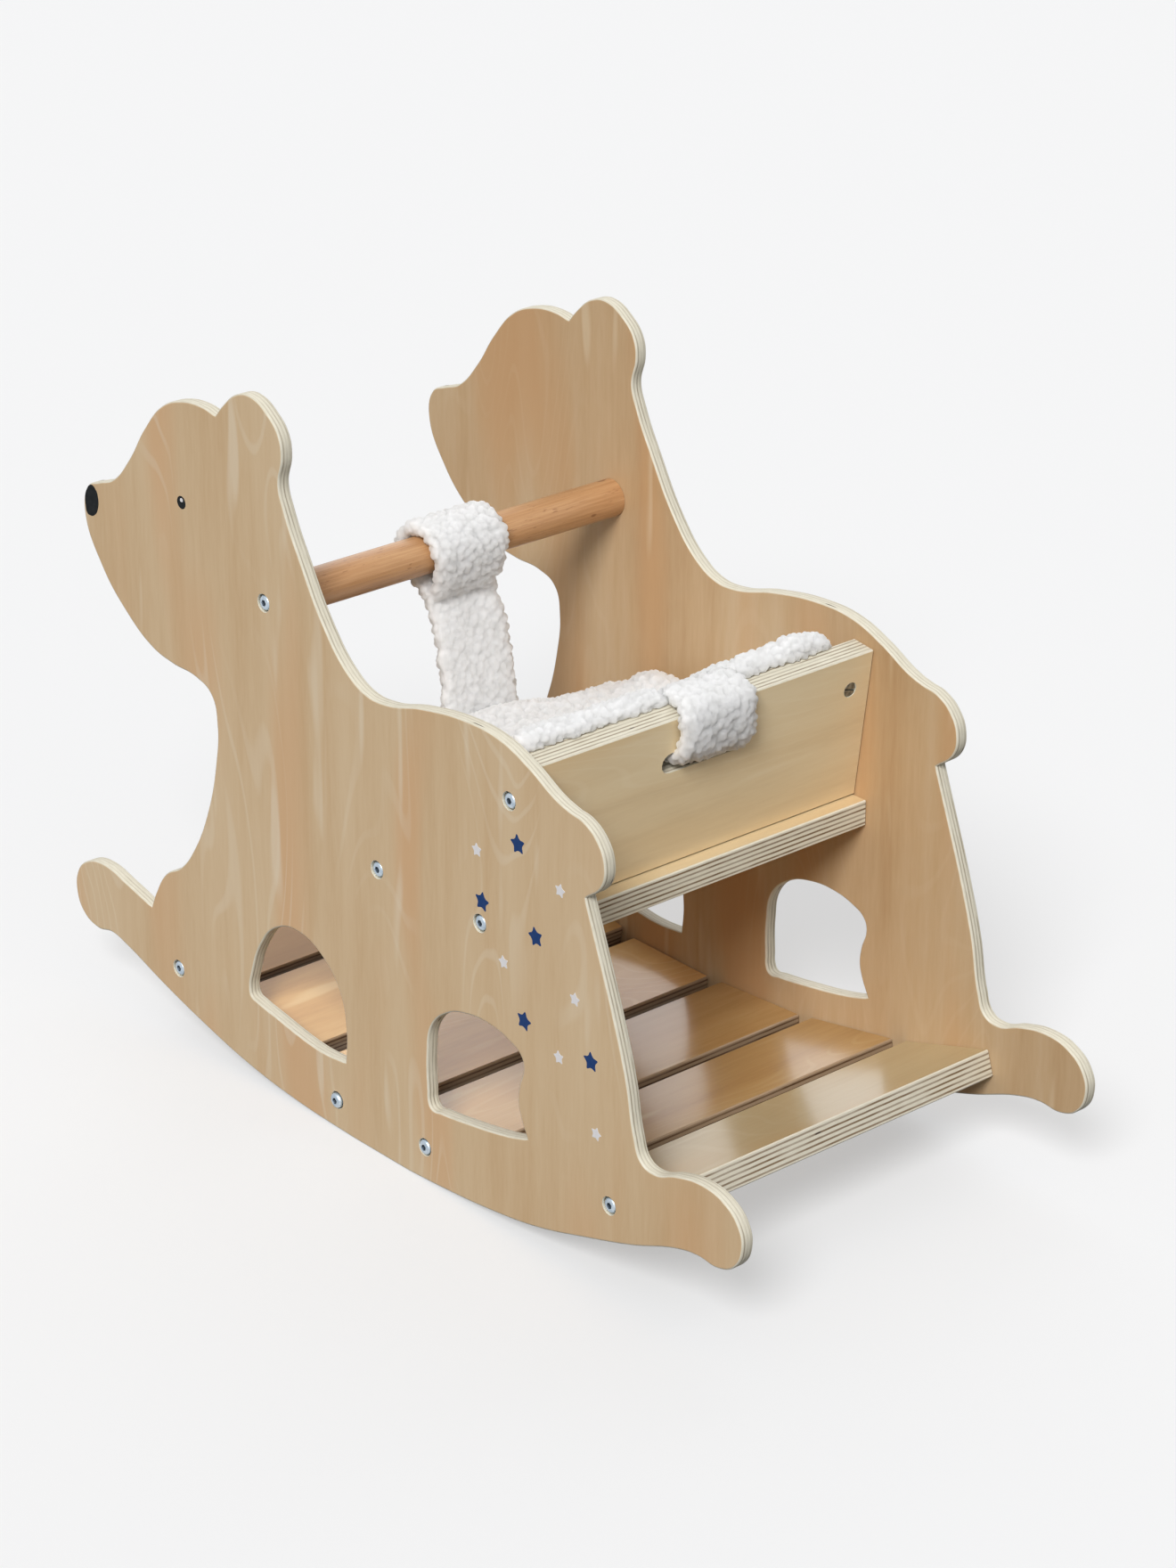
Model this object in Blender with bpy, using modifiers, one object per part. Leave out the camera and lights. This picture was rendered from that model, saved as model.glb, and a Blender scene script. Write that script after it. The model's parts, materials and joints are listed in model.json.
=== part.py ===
"""Rocking bear seat for a toddler.

Two bear-shaped plywood side panels carry a seat board, a leaning backrest, six floor
slats and a round beech handlebar. Bolts run through the panels into barrel nuts.
A fleece liner lies on the seat, with one strap round the bar and one over the backrest.

Metres, +Z up. The bear looks along -Y, the rider's left is +X. The origin is the centre
of the bounding box at floor level, and the toy stands balanced on its rockers.
"""
import math

import bmesh
import bpy
from mathutils import Matrix, Vector

MM = 0.001

# Driving dimensions
WIDTH = 0.300            # over the outer faces of the side panels
PANEL = 0.009            # side panel plywood
BOARD = 0.018            # seat, backrest and slat plywood
GAP = 0.0003             # clearance between touching pieces
PANEL_ROUNDING = 0.0008
BOARD_ROUNDING = 0.0008

BAR_RADIUS = 0.013
BAR_CENTRE = (-0.1100, 0.3493)

SEAT_FRONT = -0.077
SEAT_REAR = 0.1385
SEAT_TOP = 0.2125

BACKREST_FOOT = (0.1274, 0.2130)     # lower rear edge
BACKREST_HEIGHT = 0.1055
BACKREST_LEAN = math.radians(7.6)
BACKREST_BOLT_HEIGHT = 0.0815        # along the board, from its foot
HAND_SLOT_LENGTH = 0.070
HAND_SLOT_WIDTH = 0.014
HAND_SLOT_DROP = 0.031               # slot centre below the board's top edge

SLAT_WIDTH = 0.077
# centre height line of each slat: y, z and tilt in degrees, nose end first
SLATS = (
    (-0.2196, 0.0514, -15.5),
    (-0.1360, 0.0331, -10.5),
    (-0.0472, 0.0214, -0.5),
    (0.0432, 0.0244, 3.6),
    (0.1325, 0.0363, 10.6),
    (0.2204, 0.0583, 17.3),
)
BOLTED_SLATS = (0, 2, 3, 5)
DOWELLED_SLATS = (1, 4)
SEAT_BOLTS = (0.0, 0.1005)

BOLT_RADIUS = 0.003
SHANK_LENGTH = 0.027
BOLT_HOLE_RADIUS = 0.0034
BOLT_HOLE_DEPTH = 0.0301             # in a board's end, blind
BAR_BORE_DEPTH = 0.0283              # in the handlebar's end, blind
HEAD_RADIUS = 0.00525
HEAD_HEIGHT = 0.003
# one side of the bolt head, crown to rim, as shares of its radius and height
HEAD_PROFILE = ((0.0, 1.0), (0.62, 1.0), (0.92, 0.62), (1.0, 0.25), (1.0, 0.0))
SOCKET_RADIUS = 0.0022
SOCKET_DEPTH = 0.0018
# two joints on each side are not screwed right down, so their heads stand proud
PROUD_HEADS = {"slat_3": 0.0024, "slat_4": 0.0012}
RECESS_RADIUS = 0.0060
RECESS_DEPTH = 0.0034
BARREL_RADIUS = 0.005
BARREL_LENGTH = 0.014
BARREL_INSET = 0.0176                # barrel axis from the board's end
INSERT_RADIUS = 0.0045
INSERT_LENGTH = 0.020
PIN_RADIUS = 0.004
PIN_LENGTH = 0.024
PIN_IN_PANEL = 0.0065
PIN_SPACING = 0.044
OVERCUT = 0.002                      # how far a cutter runs past the face it opens

SEAT_PAD = 0.020
BACK_PAD = 0.015
LINER_WIDTH = 0.274
BACK_PAD_WIDTH = 0.238
NOSE_DEPTH = 0.016                   # rounded front of the pad, past the seat's front edge
FLAP_DROP = 0.020                    # how far it hangs down that edge
BACK_PAD_RISE = 0.004                # over the backrest's top edge, before its rounding
LINER_CORNER = 0.010                 # sloping stretch between the seat and the back pad
NARROW_FROM = 0.080                  # above this height the back pad is narrower
STRAP = 0.009
STRAP_WIDTH = 0.053
STRAP_SHIFT = -0.0055                # both straps lie a little to the rider's right
LOOP_FROM = -62                      # degrees round the bar, where the loop starts
LOOP_TURN = 304
# the strap's tail, from its seam under the bar down to the seat pad: y and z in millimetres
TAIL_PATH = ((-104, 324), (-99, 310), (-95.5, 296), (-91, 273), (-88, 249), (-86.5, 234.3))
FLEECE_GAP = 0.0006

INNER_FACE = WIDTH / 2 - PANEL
SPAN = 2 * (INNER_FACE - GAP)        # length of every cross piece

# Side view of the bear, clockwise from the nose: y and z in millimetres.
# A corner is a point where the outline turns sharply.
SMOOTH = "AUTO"
CORNER = "VECTOR"

HEAD = (
    (-305, 356, SMOOTH), (-300, 374.5, SMOOTH), (-286, 381, SMOOTH), (-270.5, 387, SMOOTH),
    (-251, 406.5, SMOOTH), (-233, 431.5, SMOOTH), (-212.5, 452.5, SMOOTH),
    (-192, 461.5, SMOOTH), (-168, 464, SMOOTH), (-154.5, 461.8, CORNER),
    (-146, 471, SMOOTH), (-132, 481.5, SMOOTH), (-116, 484.2, SMOOTH),
    (-100, 477, SMOOTH), (-89, 465.5, SMOOTH), (-86.5, 452, SMOOTH),
    (-90.8, 433, SMOOTH),
)
NECK_AND_BACK = (
    (-86, 418, SMOOTH), (-70, 387.5, SMOOTH), (-48, 352, SMOOTH), (-27.5, 330, SMOOTH),
    (-8, 320, SMOOTH), (12, 319.6, SMOOTH), (47, 328.2, SMOOTH), (90, 334, SMOOTH),
    (122, 332.2, SMOOTH), (148, 323, SMOOTH), (172, 311, SMOOTH),
)
TAIL = (
    (184, 307.4, SMOOTH), (198, 304.6, SMOOTH), (210, 296, SMOOTH), (216, 283, SMOOTH),
    (213.5, 269, SMOOTH), (198.5, 256, CORNER),
)
HIND_LEG = (
    (209, 228, SMOOTH), (224, 187, SMOOTH), (236, 148, SMOOTH), (243, 114, SMOOTH),
    (249, 100.5, SMOOTH), (260, 97.3, SMOOTH), (280, 104, SMOOTH), (302, 108, SMOOTH),
    (322, 104.2, SMOOTH), (335, 93, SMOOTH), (338, 79, SMOOTH), (331, 64.5, SMOOTH),
    (317, 58, SMOOTH), (300, 58.6, SMOOTH), (285, 56.2, SMOOTH),
)
ROCKER = (
    (240, 39.5, SMOOTH), (198, 26.4, SMOOTH), (152, 13.6, SMOOTH), (104, 6, SMOOTH),
    (60, 2, SMOOTH), (26, 0, CORNER), (-32, 0, CORNER), (-90, 2.4, SMOOTH),
    (-142, 8.6, SMOOTH), (-192, 19.6, SMOOTH), (-240, 33, SMOOTH),
)
FRONT_PAW = (
    (-280, 46, SMOOTH), (-297, 49.6, SMOOTH), (-315, 46.8, SMOOTH), (-331, 53, SMOOTH),
    (-338, 66.5, SMOOTH), (-335.5, 83, SMOOTH), (-323, 94.5, SMOOTH), (-302, 99, SMOOTH),
    (-277, 94, SMOOTH), (-248.5, 87, CORNER),
)
CHEST_AND_CHIN = (
    (-243, 99, SMOOTH), (-230, 118, SMOOTH), (-212, 129.3, SMOOTH), (-197, 147, SMOOTH),
    (-179, 182, SMOOTH), (-168, 220, SMOOTH), (-165, 248, SMOOTH), (-170, 267, SMOOTH),
    (-186, 274.3, SMOOTH), (-212, 276, SMOOTH), (-234, 280.5, SMOOTH),
    (-262, 297, SMOOTH), (-288, 322, SMOOTH),
)
BEAR = HEAD + NECK_AND_BACK + TAIL + HIND_LEG + ROCKER + FRONT_PAW + CHEST_AND_CHIN

FRONT_WINDOW = (
    (-139.5, 60, CORNER), (-137, 82, SMOOTH), (-128, 104, SMOOTH), (-110, 123, SMOOTH),
    (-84, 130.3, SMOOTH), (-59, 121.5, SMOOTH), (-41.5, 101, SMOOTH), (-36, 76, SMOOTH),
    (-37.5, 52.5, CORNER), (-66, 50.4, SMOOTH), (-100, 53.2, SMOOTH),
)
REAR_WINDOW = (
    (52, 55.3, SMOOTH), (46.6, 60, SMOOTH), (46, 90, SMOOTH), (52, 115.5, SMOOTH),
    (70, 130, SMOOTH), (100, 137, SMOOTH), (126, 133, SMOOTH), (140, 119.5, SMOOTH),
    (135, 94, SMOOTH), (144, 72.3, CORNER), (122, 65, SMOOTH), (85, 57.6, SMOOTH),
)
CURVE_STEPS = 3
WELD = 0.00001
SHARP_EDGE = math.radians(35)


def clear_scene():
    for obj in list(bpy.data.objects):
        bpy.data.objects.remove(obj, do_unlink=True)


def new_collection(name):
    collection = bpy.data.collections.new(name)
    bpy.context.scene.collection.children.link(collection)
    return collection


clear_scene()
TOY = new_collection("rocking_bear")
CUTTERS = new_collection("cutters")


def material(name, colour, roughness, metallic=0.0):
    mat = bpy.data.materials.new(name)
    mat.use_nodes = True
    shader = mat.node_tree.nodes["Principled BSDF"]
    shader.inputs["Base Color"].default_value = (*colour, 1.0)
    shader.inputs["Roughness"].default_value = roughness
    shader.inputs["Metallic"].default_value = metallic
    return mat


PANEL_VENEER = material("panel_veneer", (0.56, 0.38, 0.22), 0.45)
BOARD_VENEER = material("board_veneer", (0.60, 0.44, 0.25), 0.40)
SLAT_VENEER = material("slat_veneer", (0.60, 0.40, 0.24), 0.25)
BEECH = material("beech", (0.56, 0.28, 0.12), 0.40)
ZINC = material("zinc_steel", (0.62, 0.64, 0.66), 0.30, 1.0)
FLEECE = material("fleece", (0.88, 0.88, 0.87), 0.95)
BIRCH = material("birch_pin", (0.70, 0.56, 0.36), 0.60)


def add_object(name, mesh, mat, collection=TOY):
    obj = bpy.data.objects.new(name, mesh)
    collection.objects.link(obj)
    if mat is not None:
        mesh.materials.clear()
        mesh.materials.append(mat)
    return obj


def add_cutter(name, mesh, collection=CUTTERS):
    obj = add_object(name, mesh, None, collection)
    obj.hide_render = True
    obj.display_type = "WIRE"
    return obj


def cutter_group(name):
    group = bpy.data.collections.new(name)
    CUTTERS.children.link(group)
    return group


def cut(obj, group):
    """Cut every object of a cutter group out of obj."""
    boolean = obj.modifiers.new("cut", "BOOLEAN")
    boolean.operation = "DIFFERENCE"
    boolean.operand_type = "COLLECTION"
    boolean.collection = group
    boolean.solver = "EXACT"


def smooth_sides(mesh):
    mesh.shade_smooth()
    mesh.set_sharp_from_angle(angle=SHARP_EDGE)


def box_mesh(name, size):
    bm = bmesh.new()
    bmesh.ops.create_cube(bm, size=1.0)
    bmesh.ops.scale(bm, vec=Vector(size), verts=bm.verts)
    mesh = bpy.data.meshes.new(name)
    bm.to_mesh(mesh)
    bm.free()
    return mesh


def rod_mesh(name, radius, length, segments):
    """A closed cylinder along X, centred on its own origin."""
    bm = bmesh.new()
    bmesh.ops.create_cone(bm, cap_ends=True, segments=segments, radius1=radius,
                          radius2=radius, depth=length)
    bmesh.ops.rotate(bm, verts=bm.verts, matrix=Matrix.Rotation(math.pi / 2, 3, "Y"))
    mesh = bpy.data.meshes.new(name)
    bm.to_mesh(mesh)
    bm.free()
    smooth_sides(mesh)
    return mesh


def edge_rounding(obj, width):
    bevel = obj.modifiers.new("rounding", "BEVEL")
    bevel.width = width
    bevel.segments = 1
    bevel.limit_method = "ANGLE"


def outline_mesh(name, outlines, thickness, rounding, steps):
    """Extrude closed outlines, drawn in the XY plane in metres, along Z about z = 0."""
    curve = bpy.data.curves.new(name, "CURVE")
    curve.dimensions = "2D"
    curve.fill_mode = "BOTH"
    curve.extrude = thickness / 2 - rounding
    curve.bevel_depth = rounding
    curve.bevel_resolution = 0
    curve.offset = -rounding
    curve.resolution_u = steps
    for outline in outlines:
        spline = curve.splines.new("BEZIER")
        spline.bezier_points.add(len(outline) - 1)
        spline.use_cyclic_u = True
        for point, (x, y, kind) in zip(spline.bezier_points, outline):
            point.co = (x, y, 0.0)
            point.handle_left_type = kind
            point.handle_right_type = kind
    drawn = bpy.data.objects.new(name + "_outline", curve)
    TOY.objects.link(drawn)
    bpy.context.view_layer.update()
    graph = bpy.context.evaluated_depsgraph_get()
    mesh = bpy.data.meshes.new_from_object(drawn.evaluated_get(graph))
    bpy.data.objects.remove(drawn, do_unlink=True)
    bm = bmesh.new()
    bm.from_mesh(mesh)
    bmesh.ops.remove_doubles(bm, verts=bm.verts, dist=WELD)
    bmesh.ops.recalc_face_normals(bm, faces=bm.faces)
    bm.to_mesh(mesh)
    bm.free()
    mesh.name = name
    smooth_sides(mesh)
    return mesh


def side_view_mesh(name, outlines, thickness, rounding=0.0, steps=1):
    """Extrude closed outlines, drawn in the YZ plane in metres, along X about x = 0."""
    mesh = outline_mesh(name, outlines, thickness, rounding, steps)
    mesh.transform(Matrix(((0, 0, 1, 0), (1, 0, 0, 0), (0, 1, 0, 0), (0, 0, 0, 1))))
    return mesh


def in_metres(outline):
    return tuple((y * MM, z * MM, kind) for y, z, kind in outline)


def with_corners(outline):
    """Plain points as an outline whose every point is a corner."""
    return tuple((y, z, CORNER) for y, z in outline)


def joint_places():
    """Every bolted joint: name, y, z and the direction its barrel nut is entered from."""
    places = []
    for number, y in enumerate(SEAT_BOLTS, start=1):
        places.append((f"seat_{number}", y, SEAT_TOP - BOARD / 2, Vector((0, 0, -1))))
    y, z = backrest_point(BACKREST_BOLT_HEIGHT, BOARD / 2)
    behind = Vector((0, math.cos(BACKREST_LEAN), -math.sin(BACKREST_LEAN)))
    places.append(("backrest", y, z, behind))
    for index in BOLTED_SLATS:
        y, z, tilt = SLATS[index]
        under = Vector((0, math.sin(math.radians(tilt)), -math.cos(math.radians(tilt))))
        places.append((f"slat_{index + 1}", y, z, under))
    return places


def backrest_point(up, forward):
    """Side-view place on the backrest: up along the board, forward from its rear face."""
    y = BACKREST_FOOT[0] + up * math.sin(BACKREST_LEAN) - forward * math.cos(BACKREST_LEAN)
    z = BACKREST_FOOT[1] + up * math.cos(BACKREST_LEAN) + forward * math.sin(BACKREST_LEAN)
    return y, z


def pin_places():
    """Every wooden locating pin: name, y and z."""
    places = []
    for index in DOWELLED_SLATS:
        y, z, tilt = SLATS[index]
        along = Vector((math.cos(math.radians(tilt)), math.sin(math.radians(tilt))))
        for label, shift in (("front", -PIN_SPACING / 2), ("rear", PIN_SPACING / 2)):
            places.append((f"slat_{index + 1}_{label}", y + along.x * shift, z + along.y * shift))
    return places


JOINTS = joint_places()
PINS = pin_places()
SIDES = (("left", 1), ("right", -1))


def along_x(name, radius, low, high, y, z, segments, group):
    """A round cutter along X from low to high."""
    cutter = add_cutter(name, rod_mesh(name, radius, high - low, segments), group)
    cutter.location = ((low + high) / 2, y, z)
    return cutter


def make_panel(side, sign):
    outlines = [in_metres(outline) for outline in (BEAR, FRONT_WINDOW, REAR_WINDOW)]
    mesh = side_view_mesh(f"panel_{side}", outlines, PANEL, PANEL_ROUNDING, CURVE_STEPS)
    panel = add_object(f"panel_{side}", mesh, PANEL_VENEER)
    panel.location.x = sign * (INNER_FACE + PANEL / 2)
    group = cutter_group(f"panel_{side}_cutters")
    outer = WIDTH / 2
    places = [(name, y, z) for name, y, z, _ in JOINTS]
    places.append(("bar", *BAR_CENTRE))
    for name, y, z in places:
        floor = outer - RECESS_DEPTH
        spans = (("hole", BOLT_HOLE_RADIUS, INNER_FACE - OVERCUT, floor + OVERCUT, 10),
                 ("recess", RECESS_RADIUS, floor, outer + OVERCUT, 16))
        for label, radius, low, high, segments in spans:
            ends = sorted((sign * low, sign * high))
            along_x(f"{panel.name}_{name}_{label}", radius, *ends, y, z, segments, group)
    for name, y, z in PINS:
        ends = sorted((sign * (INNER_FACE - OVERCUT), sign * (INNER_FACE + PIN_IN_PANEL + GAP)))
        along_x(f"{panel.name}_{name}", PIN_RADIUS + GAP, *ends, y, z, 12, group)
    cut(panel, group)
    return panel


def make_board(name, depth, y, z, tilt, mat, bolts=(), pins=()):
    """A cross board with its centre at y, z and its rear end raised by tilt."""
    board = add_object(name, box_mesh(name, (SPAN, depth, BOARD)), mat)
    board.location = (0.0, y, z)
    board.rotation_euler.x = tilt
    edge_rounding(board, BOARD_ROUNDING)
    group = cutter_group(name + "_cutters")
    for bolt_name, bolt_y, bolt_z, entered in bolts:
        for side, sign in SIDES:
            ends = sorted((sign * (INNER_FACE - BOLT_HOLE_DEPTH), sign * (INNER_FACE + OVERCUT)))
            along_x(f"{name}_{bolt_name}_{side}_bolt", BOLT_HOLE_RADIUS, *ends,
                    bolt_y, bolt_z, 10, group)
            length = BARREL_LENGTH + GAP + OVERCUT
            mesh = rod_mesh(f"{name}_{bolt_name}_{side}_nut", BARREL_RADIUS + GAP, length, 14)
            nut = add_cutter(mesh.name, mesh, group)
            nut.rotation_mode = "QUATERNION"
            nut.rotation_quaternion = entered.to_track_quat("X", "Z")
            out_of_board = entered * (BOARD / 2 + OVERCUT - length / 2)
            nut.location = Vector((sign * (INNER_FACE - BARREL_INSET), bolt_y, bolt_z)) + out_of_board
    for pin_name, pin_y, pin_z in pins:
        for side, sign in SIDES:
            depth_in = INNER_FACE - (PIN_LENGTH - PIN_IN_PANEL) - 2 * GAP
            ends = sorted((sign * depth_in, sign * (INNER_FACE + OVERCUT)))
            along_x(f"{name}_{pin_name}_{side}", PIN_RADIUS + GAP, *ends, pin_y, pin_z, 12, group)
    return board, group


def make_seat_board():
    bolts = [joint for joint in JOINTS if joint[0].startswith("seat")]
    board, group = make_board("seat_board", SEAT_REAR - SEAT_FRONT, (SEAT_REAR + SEAT_FRONT) / 2,
                              SEAT_TOP - BOARD / 2, 0.0, BOARD_VENEER, bolts)
    cut(board, group)
    return board


def make_slats():
    for index, (y, z, tilt) in enumerate(SLATS):
        name = f"slat_{index + 1}"
        bolts = [joint for joint in JOINTS if joint[0] == name]
        pins = [pin for pin in PINS if pin[0].startswith(name)]
        slat, group = make_board(f"floor_slat_{index + 1}", SLAT_WIDTH, y, z,
                                 math.radians(tilt), SLAT_VENEER, bolts, pins)
        cut(slat, group)


def slot_mesh(name, length, width, depth):
    """A round-ended slot along X, cut through along its own Z."""
    radius = width / 2
    run = length / 2 - radius
    steps = 8
    rim = []
    for centre, start in ((run, -math.pi / 2), (-run, math.pi / 2)):
        for step in range(steps + 1):
            angle = start + math.pi * step / steps
            rim.append((centre + radius * math.cos(angle), radius * math.sin(angle)))
    return outline_mesh(name, (with_corners(rim),), depth, 0.0, 1)


def make_backrest():
    centre = backrest_point(BACKREST_HEIGHT / 2, BOARD / 2)
    tilt = math.pi / 2 - BACKREST_LEAN
    bolts = [joint for joint in JOINTS if joint[0] == "backrest"]
    board, group = make_board("backrest", BACKREST_HEIGHT, *centre, tilt, BOARD_VENEER, bolts)
    mesh = slot_mesh("hand_slot", HAND_SLOT_LENGTH, HAND_SLOT_WIDTH, BOARD * 2)
    slot = add_cutter("hand_slot", mesh, group)
    slot.location = (0.0, *backrest_point(BACKREST_HEIGHT - HAND_SLOT_DROP, BOARD / 2))
    slot.rotation_euler.x = tilt
    cut(board, group)
    return board


def make_handlebar():
    bar = add_object("handlebar", rod_mesh("handlebar", BAR_RADIUS, SPAN, 32), BEECH)
    bar.location = (0.0, *BAR_CENTRE)
    group = cutter_group("handlebar_cutters")
    for side, sign in SIDES:
        ends = sorted((sign * (INNER_FACE - BAR_BORE_DEPTH), sign * (INNER_FACE + OVERCUT)))
        along_x(f"handlebar_{side}_bore", INSERT_RADIUS + GAP, *ends, *BAR_CENTRE, 16, group)
    cut(bar, group)
    return bar


def bolt_profile():
    """Half section of a bolt standing on its tip: head towards +Z, its seat at z = 0."""
    head = [(HEAD_RADIUS * share, HEAD_HEIGHT * rise) for share, rise in HEAD_PROFILE]
    shank = [(BOLT_RADIUS, 0.0), (BOLT_RADIUS, -SHANK_LENGTH), (0.0, -SHANK_LENGTH)]
    bm = bmesh.new()
    verts = [bm.verts.new((radius, 0.0, z)) for radius, z in head + shank]
    for pair in zip(verts, verts[1:]):
        bm.edges.new(pair)
    mesh = bpy.data.meshes.new("bolt_profile")
    bm.to_mesh(mesh)
    bm.free()
    return mesh


def make_bolts():
    profile = bolt_profile()
    seat = WIDTH / 2 - RECESS_DEPTH + GAP
    places = [(name, y, z) for name, y, z, _ in JOINTS]
    places.append(("handlebar", *BAR_CENTRE))
    for name, y, z in places:
        for side, sign in SIDES:
            bolt = add_object(f"bolt_{name}_{side}", profile, ZINC)
            under_head = seat + PROUD_HEADS.get(name, 0.0)
            bolt.location = (sign * under_head, y, z)
            bolt.rotation_euler.y = sign * math.pi / 2
            turned = bolt.modifiers.new("turned", "SCREW")
            turned.steps = 14
            turned.render_steps = 14
            turned.use_merge_vertices = True
            turned.merge_threshold = WELD
            turned.use_smooth_shade = False
            socket = cutter_group(f"{bolt.name}_socket")
            crown = under_head + HEAD_HEIGHT
            ends = sorted((sign * (crown - SOCKET_DEPTH), sign * (crown + OVERCUT)))
            along_x(f"{bolt.name}_hex", SOCKET_RADIUS, *ends, y, z, 6, socket)
            cut(bolt, socket)


def make_barrel_nuts():
    for name, y, z, entered in JOINTS:
        for side, sign in SIDES:
            mesh = rod_mesh(f"nut_{name}_{side}", BARREL_RADIUS, BARREL_LENGTH, 12)
            nut = add_object(mesh.name, mesh, ZINC)
            nut.rotation_mode = "QUATERNION"
            nut.rotation_quaternion = entered.to_track_quat("X", "Z")
            x = sign * (INNER_FACE - BARREL_INSET)
            nut.location = Vector((x, y, z)) + entered * (BOARD / 2 - BARREL_LENGTH / 2 - GAP)
            group = cutter_group(nut.name + "_cutters")
            along_x(nut.name + "_thread", BOLT_HOLE_RADIUS, x - 2 * BARREL_RADIUS,
                    x + 2 * BARREL_RADIUS, y, z, 10, group)
            cut(nut, group)


def make_inserts():
    for side, sign in SIDES:
        name = f"bar_insert_{side}"
        insert = add_object(name, rod_mesh(name, INSERT_RADIUS, INSERT_LENGTH, 12), ZINC)
        middle = sign * (INNER_FACE - 2 * GAP - INSERT_LENGTH / 2)
        insert.location = (middle, *BAR_CENTRE)
        group = cutter_group(name + "_cutters")
        along_x(name + "_thread", BOLT_HOLE_RADIUS, middle - INSERT_LENGTH,
                middle + INSERT_LENGTH, *BAR_CENTRE, 12, group)
        cut(insert, group)


def make_pins():
    for name, y, z in PINS:
        for side, sign in SIDES:
            pin_name = f"pin_{name}_{side}"
            pin = add_object(pin_name, rod_mesh(pin_name, PIN_RADIUS, PIN_LENGTH, 12), BIRCH)
            pin.location = (sign * (INNER_FACE + PIN_IN_PANEL - PIN_LENGTH / 2), y, z)


def strip_sides(path, half):
    """Front and rear edge of a strip of even thickness along a side-view path going down."""
    front = []
    rear = []
    for index, (y, z) in enumerate(path):
        before = Vector(path[max(index - 1, 0)])
        after = Vector(path[min(index + 1, len(path) - 1)])
        run = (after - before).normalized()
        front.append((y + run.y * half, z - run.x * half))
        rear.append((y - run.y * half, z + run.x * half))
    return front, rear


def make_liner():
    """Seat pad with a rounded nose over the board's front edge, and the back pad."""
    front = SEAT_FRONT - FLEECE_GAP
    low = SEAT_TOP + FLEECE_GAP
    top = low + SEAT_PAD
    back = BOARD + FLEECE_GAP
    face = BOARD + BACK_PAD
    crest = BACKREST_HEIGHT + BACK_PAD_RISE
    corner = Vector(backrest_point(SEAT_PAD + LINER_CORNER, face))
    seat_side = [(front, low - FLAP_DROP), (front, low)]
    back_side = [backrest_point(BACK_PAD_RISE, back), backrest_point(crest, back)]
    middle = (Vector(backrest_point(crest, back)) + Vector(backrest_point(crest, face))) / 2
    along = Vector((math.sin(BACKREST_LEAN), math.cos(BACKREST_LEAN)))
    across = Vector((math.cos(BACKREST_LEAN), -math.sin(BACKREST_LEAN)))
    roll = []
    for step in range(1, 5):
        angle = math.pi * step / 4
        rim = across * math.cos(angle) + along * math.sin(angle)
        roll.append(tuple(middle + rim * (face - back) / 2))
    nose = []
    for step in range(4):
        angle = math.pi / 2 * step / 3
        nose.append((front - NOSE_DEPTH * math.sin(angle), low + SEAT_PAD * math.cos(angle)))
    flap = [(front - NOSE_DEPTH, low - FLAP_DROP * 0.8)]
    bend = [tuple(corner), (corner.x - LINER_CORNER, top)]
    outline = seat_side + back_side + roll + bend + nose + flap
    mesh = side_view_mesh("seat_liner", (with_corners(outline),), LINER_WIDTH)
    liner = add_object("seat_liner", mesh, FLEECE)
    group = cutter_group("seat_liner_cutters")
    spare = (LINER_WIDTH - BACK_PAD_WIDTH) / 2 + OVERCUT
    height = BACKREST_HEIGHT
    for side, sign in SIDES:
        corner_box = box_mesh(f"liner_corner_{side}", (spare, height, height))
        cutter = add_cutter(corner_box.name, corner_box, group)
        cutter.location = (sign * (BACK_PAD_WIDTH + spare) / 2, corner.x,
                           SEAT_TOP + NARROW_FROM + height / 2)
    cut(liner, group)
    return liner


def make_front_strap():
    """Strap sewn round the handlebar, hanging to the front of the seat pad."""
    centre = Vector(BAR_CENTRE)
    inner = BAR_RADIUS + FLEECE_GAP
    outer = inner + STRAP
    hole = []
    for step in range(20):
        angle = 2 * math.pi * step / 20
        hole.append((centre.x + inner * math.cos(angle), centre.y + inner * math.sin(angle)))
    around = []
    for step in range(17):
        angle = math.radians(LOOP_FROM + LOOP_TURN * step / 16)
        around.append((centre.x + outer * math.cos(angle), centre.y + outer * math.sin(angle)))
    path = [(y * MM, z * MM) for y, z in TAIL_PATH]
    front, rear = strip_sides(path, STRAP / 2)
    outline = around + front + rear[::-1]
    mesh = side_view_mesh("bar_strap", (with_corners(outline), with_corners(hole)), STRAP_WIDTH)
    strap = add_object("bar_strap", mesh, FLEECE)
    strap.location.x = STRAP_SHIFT
    return strap


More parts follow.
